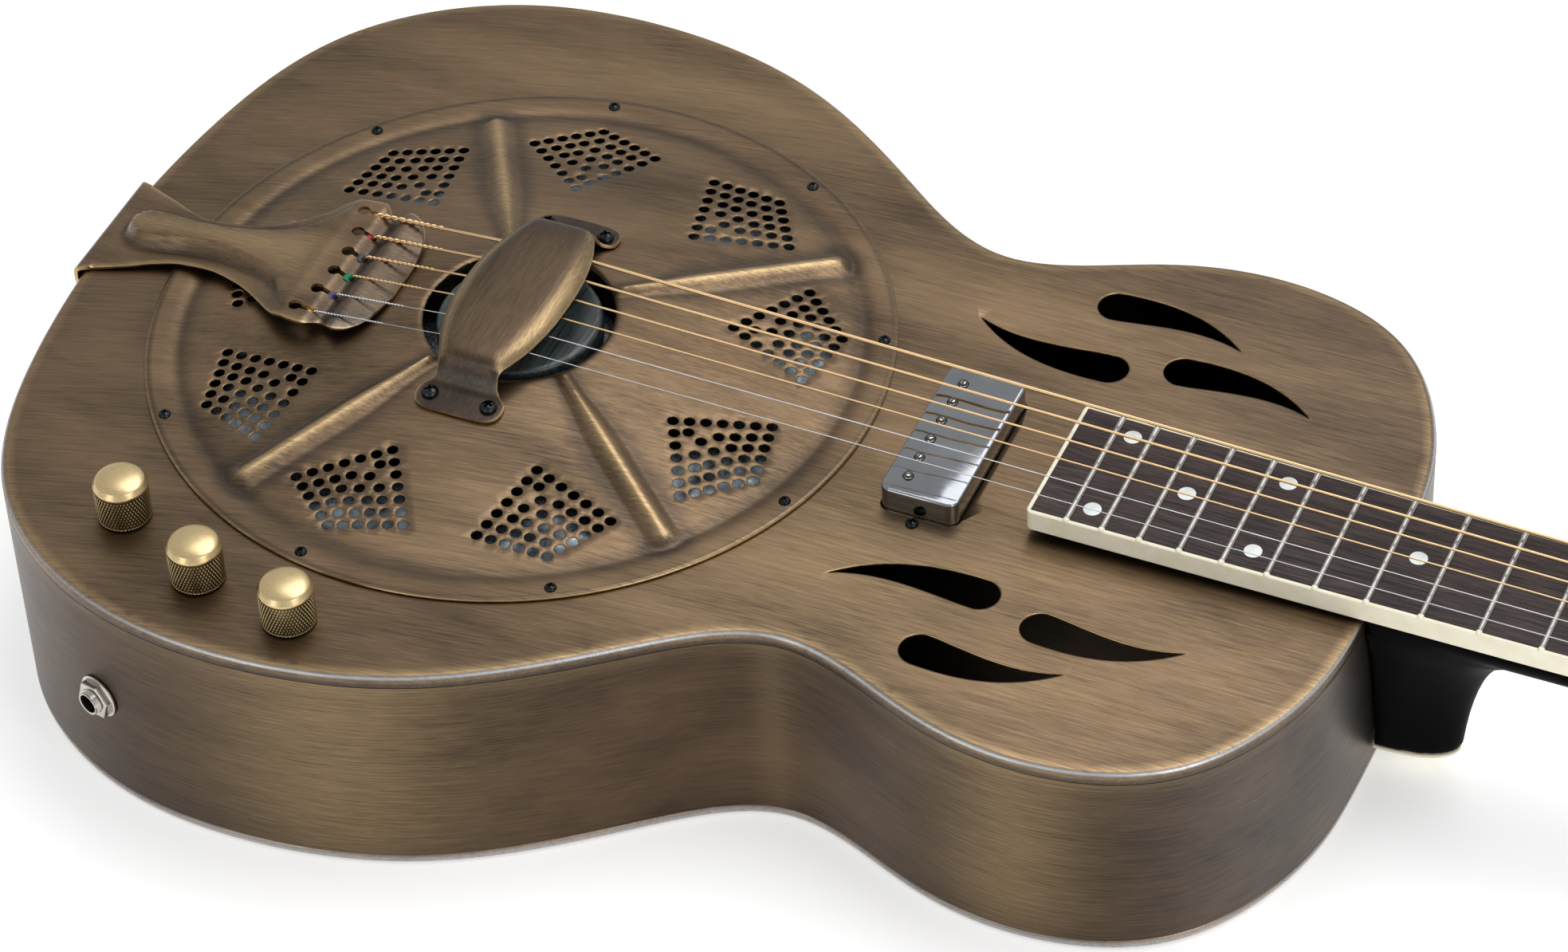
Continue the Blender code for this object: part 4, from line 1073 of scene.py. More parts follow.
def build_top():
    """Flat top with its holes, joined to a rolled edge with bare metal and a painted reflection
    along it.
    """
    inner = lattice(*BODY_BOX, TOP_SPACING)
    inner += list(inset(OUTLINE, EDGE_RADIUS + 3.0))
    flat = inset(OUTLINE, EDGE_RADIUS)
    xy, faces, previous, on_hole = cut_sheet(flat, top_holes(), inner, (0.5, 1.4), 1.6)
    points = [(x, y, 0.0) for x, y in xy]
    faces = [tuple(face) for face in faces]
    # Painted highlights, besides wear, on the hole edges and the start of the roll; a painted sheen
    # elsewhere.
    worn = [0.22 if low else top_sheen(x, y) for (x, y), low in zip(xy, on_hole)]
    for index in previous:
        worn[index] = 0.35
    steel = [0.0] * len(points)
    # A steely band on the roll's crest: bare metal and a painted reflection, stronger towards the
    # neck.
    bare_and_glint = 0.45 + 0.55 / (1 + np.exp(-(OUTLINE[:, 0] + 60) / 40))
    arc = np.radians(np.linspace(0, 90, 14))[1:]
    rows = [(EDGE_RADIUS * (1 - math.sin(a)), EDGE_RADIUS * (math.cos(a) - 1), a) for a in arc]
    rows += [(0.0, -EDGE_RADIUS - 0.3, math.inf), (0.0, -SKIRT, math.inf)]
    for amount, depth, angle in rows:
        current = range(len(points), len(points) + len(OUTLINE))
        points += [(x, y, depth) for x, y in inset(OUTLINE, amount)]
        # Gold lines beside the roll's crest are painted highlights; its middle gets the steely
        # band.
        crest = bell(angle, 0.8, 0.24)
        worn += [0.5 * bell(angle, 0.4, 0.4) * (1 - crest)] * len(current)
        steel += list(crest * bare_and_glint)
        faces += row_faces(previous, current)
        previous = current
    marks = {"worn": worn, "steel": steel, "patina": top_shade_and_patina(points)}
    made = build("body_top_fine", points, faces, [TOP_BRASS, BRIGHT_EDGE], marks=marks)
    finish(thicken(made, SHEET, rim=1), "aged_brass", "body_top")


def spot(x, y, centre, size):
    """A soft round spot: 1 at its centre, fading with distance."""
    return math.exp(-((x - centre[0]) ** 2 + (y - centre[1]) ** 2) / size**2)


def top_sheen(x, y):
    """A painted sheen: the top is lighter by the treble waist, and a little in the bass lower bout.
    """
    return 0.17 * spot(x, y, (150, -70), 60) + 0.07 * spot(x, y, (-20, 150), 90)


def top_shade_and_patina(points):
    """Darker towards the rim; painted shade by the coverplate, down the skirt, by the tail and in
    one bout.
    """
    near = flat_tree(OUTLINE)
    marks = []
    for x, y, z in points:
        rim = near.find((x, y, 0))[2]
        plate = abs(math.hypot(x, y) - PLATE_RADIUS)
        edge = 0.25 * math.exp(-rim / 14) * (1 if rim > 4 else 0.2) + 0.3 * math.exp(-plate / 3.5)
        if z < -EDGE_RADIUS:
            edge = 0.65
        clouds = 0.26 * spot(x, y, (-150, -40), 80) + 0.36 * spot(x, y, (275, 75), 75)
        marks.append(min(0.8, edge + clouds))
    return marks


def side_sheen(x):
    """A painted reflection: the side is lighter where its two bouts stand out, and in the waist."""
    return 0.3 * bell(x, 10, 42) + 0.28 * bell(x, 236, 24) + 0.1 * bell(x, 141, 6)


def pin_bore():
    """A round cutter where the strap button's pin crosses the tail end."""
    ends = [(-180, 0, BUTTON_Z), (-150, 0, BUTTON_Z)]
    return tube("pin_bore", ends, PIN_RADIUS, BRIGHT_EDGE, 16)


def build_side():
    """The side band, with its brushed lines running round the body."""
    levels = 12
    count = len(OUTLINE)
    high = -SKIRT - GAP
    points = []
    marks = {"worn": [], "patina": [], "steel": []}
    for j in range(levels + 1):
        t = j / levels
        for x, y in OUTLINE:
            low = back_height(x) + SKIRT + GAP
            points.append((x, y, high + t * (low - high)))
            # Painted highlight along the top row, painted glints near both ends, darker towards top
            # and bottom.
            marks["worn"].append(side_sheen(x) + (0.15 if j == 0 else 0.0))
            marks["patina"].append(0.22 * (2 * t - 1) ** 4)
            marks["steel"].append(0.07 * bell(x, 318, 34) + 0.04 * bell(x, -160, 30))
    faces = loft_faces(levels + 1, count, capped=False)
    uv = []
    for number, face in enumerate(faces):
        here, there = TRAVEL[number % count], TRAVEL[number % count + 1]
        for index, travel in zip(face, (here, there, there, here)):
            uv.append((travel, points[index][2]))
    materials = [SHADED_SIDE_BRASS, SHADED_INNER_BRASS]
    made = build("body_side_fine", points, faces, materials, marks=marks, uv=uv)
    thicken(made, SHEET, inner=1)
    half, low, high = STICK_SLOT
    slot = prism("stick_slot", box(300, 350, half), low, high, SHADED_INNER_BRASS)
    place, direction = jack_place()
    ends = [place - direction * 9, place + direction * 9]
    bore = tube("jack_bore", ends, JACK_BORE, BRIGHT_EDGE, 24)
    boolean(made, [slot, bore, pin_bore()])
    finish(shade(made, 35), "aged_brass", "body_side")


def build_back():
    """Flat back with the same rolled edge as the top."""
    flat = inset(OUTLINE, EDGE_RADIUS)
    xy, faces, previous, _ = cut_sheet(flat, [], lattice(*BODY_BOX, 12.0), (), 2.0)
    points = [(x, y, back_height(x)) for x, y in xy]
    faces = [tuple(face)[::-1] for face in faces]
    steel = [0.0] * len(points)
    arc = np.radians(np.linspace(0, 90, 8))[1:]
    rows = [(EDGE_RADIUS * (1 - math.sin(a)), EDGE_RADIUS * (1 - math.cos(a))) for a in arc]
    for amount, depth in rows + [(0.0, SKIRT)]:
        current = range(len(points), len(points) + len(OUTLINE))
        points += [(x, y, back_height(x) + depth) for x, y in inset(OUTLINE, amount)]
        # A steely band along the bend, as on the top: bare metal and a painted reflection.
        steel += [0.5 if 0.3 < depth < 2.6 else 0.1] * len(current)
        faces += row_faces(current, previous)
        previous = current
    materials = [BACK_BRASS, SHADED_INNER_BRASS]
    made = build("body_back_fine", points, faces, materials, marks={"steel": steel})
    finish(thicken(made, SHEET, inner=1), "aged_brass", "body_back")


def jack_place():
    """Where the jack crosses the treble side, and the way out of the side there."""
    for here, there in zip(OUTLINE, np.roll(OUTLINE, -1, axis=0)):
        if here[1] < 0 and there[0] <= JACK_X <= here[0]:
            along = there - here
            point = here + (JACK_X - here[0]) / along[0] * along
            return Vector((*point, JACK_Z)), Vector((-along[1], along[0], 0)).normalized()
    raise ValueError("the jack is beside the body")


# Resonator


def rib_share(x, y):
    """How far up a rib a point is, from 0 to 1, and how near a rib's foot."""
    best = 0.0
    foot = 0.0
    for angle in RIB_ANGLES:
        along, across = turned(x, y, -angle)
        past = max(RIB_INNER - along, along - RIB_OUTER, 0.0)
        taper = 0.5 + 0.5 * smooth_step((along - RIB_INNER) / 34)
        away = math.hypot(across / taper, past * 1.1) / RIB_HALF_WIDTH
        if away < 1:
            best = max(best, (1 + math.cos(math.pi * away)) / 2 * (0.6 + 0.4 * taper))
        foot = max(foot, bell(away, 1.15, 0.5) if along > 20 else 0.0)
    return best, foot


def plate_height(radius):
    """Height of the coverplate without its ribs: flat rim, pressed groove and shallow cone."""
    rise = PLATE_SLOPE * max(0.0, CONE_START - radius)
    groove = GROOVE_DEPTH * bell(radius, GROOVE_RADIUS, GROOVE_WIDTH)
    lip = 0.18 * max(0.0, PLATE_HOLE_RADIUS + 2.2 - radius) ** 2
    edge = 0.5 * max(0.0, radius - PLATE_RADIUS + 0.7) ** 2
    return PLATE_RIM + rise - groove - lip - edge


def port_pattern():
    """Centres of one kite of round holes, in a frame whose X axis is its diagonal."""
    corner = np.array((100.8, 22.8))
    middle = (75.4, 82.8, 88.8, 94.9, 101.1, 107.3, 113.4)
    tip = np.array((middle[0], 0.0))
    far = np.array((middle[-1], 0.0))
    inward = np.array((3.95, 4.1))
    places = [(radius, 0.0) for radius in middle]
    for k in range(1, 7):
        x, y = tip + k / 6 * (corner - tip)
        places += [(x, y), (x, -y)]
    for row in range(1, 5):
        edge = corner + row / 5 * (far - corner)
        for k in range(5 - row):
            x, y = edge - k * inward
            places += [(x, y), (x, -y)]
    return places


PLATE_EDGE_RINGS = (132.4, 131.6, 130, 127)
PLATE_GROOVE_RINGS = (125.2, 124, 123, 122, 121.2, 120.4, 119.4, 118.4, 117.2, 115.8)
PLATE_INNER_RINGS = (34.6, 35.2, 36, 37.4, 39.4)
RIB_ROWS = (0, 1, 2.1, 3.2, 4.2, 5.2, 6.2, 7.4, 9)


def plate_points():
    """Points of the coverplate's mesh: close on its rims and ribs, wide between them."""
    inner = []
    for radius in PLATE_EDGE_RINGS + PLATE_GROOVE_RINGS:
        inner += list(circle(radius, 300))
    for radius in PLATE_INNER_RINGS:
        inner += list(circle(radius, 150))
    across = [-y for y in RIB_ROWS[:0:-1]] + list(RIB_ROWS)
    for angle in RIB_ANGLES:
        for x in np.arange(RIB_INNER, 115, 1.6):
            inner += [turned(x, y, angle) for y in across]
    for x, y in lattice((-115, -115), (115, 115), 4.0):
        if 41 < math.hypot(x, y) < 114.6 and rib_distance(x, y) > 10.5:
            inner.append((x, y))
    return inner


def build_coverplate():
    """Round plate with pressed ribs and nine kites of round holes."""
    holes = [circle(PLATE_HOLE_RADIUS, 120)]
    for angle in GROUP_ANGLES:
        holes += [circle(PORT_RADIUS, 16, turned(x, y, angle)) for x, y in port_pattern()]
    outer = circle(PLATE_RADIUS, 300)
    xy, faces, _, on_hole = cut_sheet(outer, holes, plate_points(), (0.3,), 0.7)
    points = []
    marks = {"worn": [], "patina": []}
    for (x, y), low in zip(xy, on_hole):
        radius = math.hypot(x, y)
        crest, foot = rib_share(x, y)
        z = plate_height(radius) + RIB_HEIGHT * crest - (0.2 if low and radius > 40 else 0.0)
        points.append((x, y, z))
        # Painted highlights, besides wear, on the rib crests, the hole edges and the outer rim.
        rim_line = bell(radius, PLATE_RADIUS, 0.8)
        # Painted shade in the groove, beside the ribs' feet and in a line by the edge; a darker
        # cloud.
        groove = bell(radius, GROOVE_RADIUS - 1.0, 3.6)
        edge_shade = bell(radius, 131.4, 0.5)
        cloud = 0.22 * spot(x, y, (25, -78), 38)
        darkening = 0.6 * groove + 0.6 * foot * (1 - crest) + 0.8 * edge_shade + cloud
        marks["worn"].append(min(1.0, 0.85 * crest**4 + 0.7 * low + 0.85 * rim_line))
        marks["patina"].append(min(0.9, darkening) * (1 - low))
    materials = [PLATE_BRASS, BRIGHT_EDGE]
    made = build("coverplate_fine", points, faces, materials, marks=marks, sharp=40)
    finish(thicken(made, PLATE_SHEET, rim=1), "aged_brass", "coverplate")


def rib_distance(x, y):
    """Distance from a point to the nearest rib's middle line."""
    nearest = math.inf
    for angle in RIB_ANGLES:
        along, across = turned(x, y, -angle)
        if along > 0:
            nearest = min(nearest, abs(across))
    return nearest


def build_plate_screws():
    """Nine screws round the coverplate, each with its own turn."""
    for k, angle in enumerate(GROUP_ANGLES):
        x, y = turned(SCREW_CIRCLE, 0, angle)
        turn = Matrix.Rotation(0.7 * k, 4, "Z")
        place = TOP @ move(x, y, PLATE_RIM) @ turn
        screw_head(f"plate_screw_{k + 1}", SCREW_RADIUS, SCREW_HEIGHT, place)


def build_cone():
    """Spun cone with its rolled lip and concentric steps."""
    profile = []
    for radius in np.linspace(CONE_RADIUS, 12, 150):
        slope = CONE_RIM_Z + (CONE_RADIUS - radius) * CONE_SLOPE
        step = 0.35 * abs((radius / CONE_STEP) % 1 - 0.5)
        lip = 0.6 * bell(radius, 117, 2.5)
        profile.append((radius, slope + step - 0.2 + lip))
    under = [(r, z - 0.5) for r, z in profile[::-6]]
    made = lathe("resonator_cone_fine", profile + under, 120, SHADED_ALUMINIUM, closed=True)
    finish(made, "spun_aluminium", "resonator_cone")


def build_biscuit():
    """Black wooden disc with the saddle in its slot."""
    rim = [(BISCUIT_RADIUS, BISCUIT_BOTTOM), (BISCUIT_RADIUS, BISCUIT_TOP)]
    corners = [(0.01, BISCUIT_BOTTOM)] + rim + [(0.01, BISCUIT_TOP)]
    made = lathe("biscuit_fine", rounded(corners, 2.4, 6), 96, EBONISED)
    centre = (SADDLE_X, 0)
    room = rounded_box(2.0, 27.5, 0.5, centre, 2)
    slot = prism("saddle_slot", room, BISCUIT_TOP - 4, 20, EBONISED)
    finish(shade(boolean(made, [slot]), 35), "ebonised_wood", "biscuit")
    top = STRING_SADDLE_Z - STRING_RADII[0] - GAP
    outline = rounded_box(1.6, 27.1, 0.6, centre, 3)
    saddle = prism("saddle_fine", outline, BISCUIT_TOP - 3.7, top, MAPLE, ease=0.5)
    finish(saddle, "maple", "saddle")


# Hand rest and tailpiece

REST_SECTIONS = [  # place across the strings, height, half width and roll of the long edges
    (-54.5, 10.5, 10.0, 0.0),
    (-53.6, 10.6, 13.2, 0.0),
    (-51.8, 10.9, 15.5, 0.0),
    (-48.5, 11.3, 16.4, 0.0),
    (-45.2, 11.8, 15.8, 0.0),
    (-43.2, 13.2, 13.2, 0.2),
    (-41.6, 16.4, 11.7, 0.6),
    (-39.8, 20.4, 11.6, 1.4),
    (-37.6, 23.0, 12.4, 2.6),
    (-33.6, 24.1, 14.2, 3.4),
    (-26.0, 24.7, 17.0, 3.6),
    (-14.0, 25.4, 19.6, 3.6),
    (0.0, 25.6, 20.4, 3.6),
]
REST_SHEET = 1.2
REST_SCREWS = ((-11.2, -48), (11.2, -48), (11.2, 48), (-11.2, 48))


def pressed_sheet(name, rows, marks, thickness, material):
    """A grid of points as a sheet of metal; rows run along X or Y, with normals up."""
    points = [p for row in rows for p in row]
    faces = grid_faces(len(rows), len(rows[0]))
    made = build(name, points, faces, material, marks=marks, sharp=50)
    return thicken(made, thickness, rim=1)


def build_hand_rest():
    """Arched strap over the saddle, with rolled long edges, and its four screws."""
    sections = REST_SECTIONS + [(-y, *rest) for y, *rest in REST_SECTIONS[-2::-1]]
    across = np.sin(np.linspace(-0.5, 0.5, 25) * math.pi)
    rows = []
    marks = {"worn": [], "patina": [], "steel": []}
    for y, z, half, roll in smooth_rows(sections, 4):
        row = []
        for u in across:
            bend = max(0.0, (abs(u) - 0.62) / 0.38)
            row.append((u * half, y, z - roll * bend**2.2 - 0.35 * u * u))
            # Painted highlights on the shoulder, stronger on one side, and along the long edges.
            shoulder = bell(abs(u), 0.86, 0.1) if abs(y) < 39 else 0.0
            rim = math.exp(-((1 - abs(u)) / 0.03))
            marks["worn"].append(min(1.0, 0.75 * shoulder * (1.0 if u > 0 else 0.55) + 0.8 * rim))
            # Painted shade on the bend and the foot, and a painted reflection as a steely stripe on
            # the bend.
            low = 1 / (1 + math.exp((38.5 - abs(y)) / 0.7))
            marks["patina"].append(min(0.85, 0.8 * low + 0.45 * bell(y, 34, 9)) * (1 - rim))
            marks["steel"].append(0.12 * bell(abs(y), 41.8, 0.8))
        rows.append(row)
    made = pressed_sheet("hand_rest_fine", rows, marks, REST_SHEET, [CROSS_BRASS, BRIGHT_EDGE])
    bevel_rims(made, 0.35)
    finish(made, "aged_brass", "hand_rest")
    for k, (x, y) in enumerate(REST_SCREWS):
        turn = Matrix.Rotation(0.5 + 0.8 * k, 4, "Z")
        screw_head(f"rest_screw_{k + 1}", 3.1, 2.1, TOP @ move(x, y, 11.35) @ turn)


TAIL_SECTIONS = [  # place along, height, half width, half width and height of the spine
    (-166.4, -57.0, 10.0, 2.0, 0.0),
    (-166.4, -53.0, 15.0, 2.0, 0.0),
    (-166.4, -14.0, 24.0, 3.0, 0.0),
    (-166.3, -1.2, 25.8, 4.0, 0.0),
    (-165.3, 1.2, 25.6, 5.0, 0.0),
    (-162.5, 2.0, 24.6, 6.0, 0.3),
    (-159.0, 2.3, 23.4, 9.0, 5.2),
    (-148.0, 3.0, 19.0, 9.4, 5.6),
    (-138.0, 3.8, 14.8, 8.6, 6.0),
    (-128.5, 4.7, 12.7, 7.6, 6.0),
    (-117.0, 6.0, 13.2, 8.0, 5.8),
    (-106.0, 7.0, 16.4, 10.0, 5.5),
    (-98.0, 8.2, 20.4, 12.5, 4.8),
    (-90.0, 9.8, 26.0, 17.0, 4.0),
    (-83.0, 12.4, 31.5, 25.0, 1.8),
    (-77.0, 14.2, 33.5, 30.0, 0.2),
    (-69.0, 14.2, 34.2, 30.0, 0.0),
    (-63.5, 11.8, 29.8, 28.0, 0.0),
    (-58.0, 14.2, 32.8, 28.0, 0.0),
    (-52.5, 13.2, 30.0, 24.0, 0.0),
    (-48.0, 12.2, 22.0, 16.0, 0.0),
    (-45.6, 11.8, 10.0, 6.0, 0.0),
]
TAIL_NOSE_X = -149.0
TAIL_SPINE_EDGE = 3.8
TAIL_SHEET = 1.4
KEYHOLE_RADIUS = 2.35
KEYHOLES = [  # centre of the round end and end of the slot, from the low string to the high
    (-74.6, -70.2),
    (-71.5, -65.2),
    (-70.0, -63.2),
    (-70.0, -63.0),
    (-71.2, -64.0),
    (-74.5, -67.1),
]


def spread_y(half, number):
    """Place of string number across the strings, 1 on the bass side."""
    return half * (1 - 2 * (number - 1) / 5)


def keyhole(k):
    """Cutter of one keyhole: most of a circle, with a slot towards the saddle."""
    centre, end = KEYHOLES[k]
    y = spread_y(STRING_HALF_SPREAD_TAIL, k + 1)
    shape = []
    for a in np.radians(np.linspace(26, 334, 23)):
        shape.append((centre + KEYHOLE_RADIUS * math.cos(a), y + KEYHOLE_RADIUS * math.sin(a)))
    shape += [(end + math.sin(a), y - math.cos(a)) for a in np.radians(np.linspace(0, 180, 9))]
    return prism(f"keyhole_{k}", shape, 2, 30, BRIGHT_EDGE)


def build_tailpiece():
    """Stamped sheet with a raised spine, corrugated lip and six keyholes, hooked over the end."""
    rows = []
    marks = {"worn": [], "patina": [], "steel": []}
    for x, z, half, spine, height in smooth_rows(TAIL_SECTIONS, 7):
        ahead = min(0.0, x - TAIL_NOSE_X)
        present = min(1.0, height / 4)
        head = 1 / (1 + math.exp(-(x + 66) / 2.5))
        valley = bell(x, -63.3, 2.2)
        row = []
        for u in np.linspace(-1, 1, 57):
            y = half * u
            inside = spine - math.hypot(ahead, y)
            crest = smooth_step(inside / TAIL_SPINE_EDGE) * (1 - 0.12 * (y / spine) ** 2)
            turned_down = 0.6 * max(0.0, abs(u) - 0.93) / 0.07 * (x > -160)
            row.append((x, y, z + height * crest - turned_down))
            # Painted highlights on the rim and the spine's crest, and a painted glint round the
            # nose.
            edge = math.exp(-((half - abs(y)) / 0.7))
            middle = bell(y, 0, 0.5 * spine) * present * (x > TAIL_NOSE_X - 8)
            foot = bell(inside, 0.4, 2.0) * present
            # Painted shade in the valleys, at the spine's foot, on the head and down the hooked
            # end.
            darkening = 0.4 * valley + 0.6 * head + 0.75 * foot + 0.25 * (x < -164.5)
            nose = bell(inside, 3.2, 0.9) * present * (ahead < -2)
            marks["worn"].append(min(1.0, 0.8 * edge + 0.42 * middle))
            marks["patina"].append(min(0.85, darkening) * (1 - edge))
            marks["steel"].append(min(1.0, 0.03 * head + 0.06 * head * abs(u) ** 4 + 0.3 * nose))
        rows.append(row[::-1])
    made = pressed_sheet("tailpiece_fine", rows, marks, TAIL_SHEET, [TAIL_BRASS, BRIGHT_EDGE])
    apply_modifiers(made)
    boolean(made, [keyhole(k) for k in range(len(KEYHOLES))] + [pin_bore()])
    finish(shade(made, 45), "aged_brass", "tailpiece")


def build_strap_button():
    """Turned button that holds the tailpiece to the end of the body."""
    pin = [(2.2, -12.0), (2.2, 1.0)]
    flange = [(6.5, 1.0), (6.0, 2.5), (3.4, 5.0)]
    head = [(3.4, 9.5), (6.6, 12.0), (7.0, 13.6), (0.01, 15.0)]
    profile = [(0.01, -12.0)] + rounded(pin + flange + head, 1.2, 4)
    place = TOP @ move(BUTTON_X, 0, BUTTON_Z) @ Matrix.Rotation(-math.pi / 2, 4, "Y")
    button = lathe("strap_button_fine", profile, 48, NICKEL, place=place)
    finish(button, "nickel", "strap_button")


# Fingerboard and neck

FRET_PROFILE = [  # along the board and up from it
    (1.2, -0.6),
    (1.2, 0.0),
    (0.95, 0.55),
    (0.55, 0.88),
    (0.0, 1.0),
    (-0.55, 0.88),
    (-0.95, 0.55),
    (-1.2, 0.0),
    (-1.2, -0.6),
]
NIB_STEPS = ((0.02, 0.97), (1.1, 0.93), (1.6, 0.6), (1.75, 0.2))  # past the fret's end, and size


def build_fingerboard():
    """Rosewood board, with its cream binding round three sides."""
    start = BOARD_END_X + BINDING + 0.05
    end = NUT_X - 0.1
    inner = BINDING + 0.05
    corners = [(end, board_half(end) - inner), (start, board_half(start) - inner)]
    outline = with_mirror(corners)
    board = prism("fingerboard_fine", outline, board_bottom, board_top, ROSEWOOD, ease=0.15)
    finish(board, "rosewood", "fingerboard")

    nut_half, end_half = board_half(NUT_X), board_half(BOARD_END_X)
    corners = [(end, nut_half), (BOARD_END_X, end_half), (BOARD_END_X, 0)]
    outer = rounded(corners, 2.6, 5)[:-1]
    hole = [(end, nut_half - BINDING), (BOARD_END_X + BINDING, end_half - BINDING)]
    outline = with_mirror(outer) + [(x, -y) for x, y in hole] + hole[::-1]
    strip = prism("binding_fine", outline, board_bottom, lambda x: board_top(x) + 0.05, CREAM)
    bevel_rims(strip, 0.45)
    finish(strip, "cream_binding", "fingerboard_binding")


def build_frets():
    """Frets between the bindings, with the cream nibs at their ends."""
    for number in range(1, FRETS + 1):
        x = fret_x(number)
        top = board_top(x)
        half = board_half(x) - BINDING
        rings = [[(x + px, y, top + pz) for px, pz in FRET_PROFILE] for y in (-half, half)]
        finish(loft(f"fret_{number}", rings, FRET_METAL, sharp=40), "nickel")
        for side, name in ((-1, "treble"), (1, "bass")):
            rings = []
            for past, size in NIB_STEPS:
                y = side * (half + past)
                ring = []
                for px, pz in FRET_PROFILE:
                    ring.append((x + px * size, y, top + 0.05 + max(pz, 0) * size - 0.1))
                rings.append(ring)
            finish(loft(f"nib_{number}_{name}", rings, CREAM, sharp=60), "cream_binding")


def build_dots():
    """Position dots, single or in pairs."""
    edge = [(DOT_RADIUS, -0.8), (DOT_RADIUS, 0.03), (DOT_RADIUS - 0.2, 0.07)]
    profile = [(0.01, -0.8)] + edge + [(0.01, 0.1)]
    for number, y in DOT_PLACES.items():
        x = (fret_x(number) + fret_x(number - 1)) / 2
        for side in (-1, 1) if y else (1,):
            name = f"dot_{number}_{'a' if side > 0 else 'b'}"
            place = TOP @ move(x, side * y, board_top(x))
            finish(lathe(name, profile, 40, PEARL, place=place), "cream_binding")


def neck_section(x, depth):
    """A rounded D: straight sides under the fingerboard, round below."""
    half = board_half(x) - 0.05
    top = board_bottom(x) - GAP
    straight = top - NECK_FLAT * depth
    ring = [(x, half, top), (x, half, straight)]
    for t in np.radians(np.linspace(8, 172, 21)):
        z = straight - (1 - NECK_FLAT) * depth * math.sin(t) ** 1.1
        ring.append((x, half * math.cos(t), z))
    return ring + [(x, -half, straight), (x, -half, top)]


def joint_x(y):
    """Where the heel meets the curved end of the body."""
    return JOINT_X - 0.0006 * y * y


def heel_slice(z, half, reach):
    """One level of the heel: its face on the body and a half ellipse away from it."""
    face = [(joint_x(half * t), half * t, z) for t in np.linspace(-1, 1, 11)]
    front = []
    for t in np.radians(np.linspace(80, -80, 25)):
        x = joint_x(half) + (JOINT_X + reach - joint_x(half)) * math.cos(t) ** 0.8
        front.append((x, half * math.sin(t), z))
    return face + front


def head_outline():
    """Plain headstock with a waist at the nut and a low crown."""
    waist = [(-1.0, 23.0), (8, 24.6), (16, 28.6), (26, 35.0), (40, 37.0)]
    crown = [(90, 38.8), (140, 40.5), (154, 40.4), (160, 36), (HEAD_LENGTH, 12)]
    return with_mirror(waist + crown)


def build_neck():
    """Shaft, heel, riser and head joined, then remeshed so that they flow into each other."""
    depths = [(JOINT_X + 0.2, 1), (380, 0), (500, -1), (610, -2), (NUT_X + 4, -3)]
    stations = smooth_rows([(x, NECK_DEPTH + more) for x, more in depths], 8)
    neck = loft("neck_fine", [neck_section(x, depth) for x, depth in stations], NECK_BLACK)
    heel = loft("heel", [heel_slice(*level) for level in smooth_rows(HEEL_LEVELS, 4)], NECK_BLACK)
    riser = box(BOARD_END_X + 4, 345, RISER_HALF)
    riser = prism("riser", riser, GAP, lambda x: board_bottom(x) - GAP, NECK_BLACK)
    under, over = -HEAD_THICKNESS - VENEER, -VENEER - 0.1
    head = prism("head", head_outline(), under, over, NECK_BLACK, place=HEAD)
    above = box(NUT_X - 8, NUT_X + 30, 40)
    above = prism("above_neck", above, lambda x: board_bottom(x) - GAP / 2, 40, NECK_BLACK)
    boolean(neck, [heel, riser, head], "UNION")
    boolean(neck, [above])
    remesh = neck.modifiers.new("remesh", "REMESH")
    remesh.mode = "VOXEL"
    remesh.voxel_size = 1.3 * MM
    smooth = neck.modifiers.new("smooth", "SMOOTH")
    smooth.factor = 0.5
    smooth.iterations = 6
    apply_modifiers(neck)
    neck.data.materials.clear()
    neck.data.materials.append(NECK_BLACK)
    finish(shade(neck, 60), "black_satin_wood", "neck")
    cap = [(x, y) for x, y, _ in heel_slice(0, *HEEL_END)]
    cap = prism("heel_cap_fine", cap, HEEL_BOTTOM, HEEL_BOTTOM + HEEL_CAP, CREAM, ease=0.4)
    finish(cap, "cream_binding", "heel_cap")


def build_headstock():
    """Small pieces of the headstock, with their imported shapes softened."""
    softened("head_veneer", HEAD_BLACK, 0.5, slot="black_gloss_wood")
    softened("truss_rod_cover", BLACK_PLASTIC, 0.4, slot="black_plastic")
    softened("nut", BONE, 0.6, slot="bone")
    for number, x in ((1, 12), (2, 29)):
        screw_head(f"cover_screw_{number}", 1.6, 0.8, HEAD @ move(x, 0, 2.1))


# Strings and tuners


def tuner_places():
    """Name, side and place of every tuner post in the head frame; string 1 is the low one."""
    places = []
    for k in range(6):
        row = k if k < 3 else 5 - k
        side = 1 if k < 3 else -1
        places.append((f"tuner_{k + 1}", side, TUNER_X[row], side * TUNER_HALF_SPREAD[row]))
    return places


def string_path(number, side, x, y, radius):
    """A string from its keyhole over saddle and nut to the turns on its post."""
    tail_y = spread_y(STRING_HALF_SPREAD_TAIL, number)
    start = Vector((KEYHOLES[number - 1][1] + 0.3, tail_y, STRING_TAIL_Z - 1.2))
    saddle_y = spread_y(STRING_HALF_SPREAD_SADDLE, number)
    saddle = Vector((SADDLE_X, saddle_y, STRING_SADDLE_Z))
    path = [start - Vector((1.2, 0, 3.2)), start, saddle]
    nut = Vector((NUT_X + 2.5, spread_y(STRING_HALF_SPREAD_NUT, number), STRING_NUT_Z + 0.05))
    path += [saddle.lerp(nut, t) for t in np.linspace(0, 1, 12)[1:]]
    path.append(nut + Vector((3.5, 0, -0.3)))
    to_top = TOP.inverted() @ HEAD
    coil = POST_RADIUS + radius + 0.1
    for k in range(POST_TURN_STEPS):
        a = math.radians(-side * 90 + side * 20 * k)
        lift = 6.8 - k * (2 * radius + 0.1) / 18
        point = Vector((x + coil * math.cos(a), y + coil * math.sin(a), lift)) * MM
        path.append((to_top @ point) / MM)
    return path


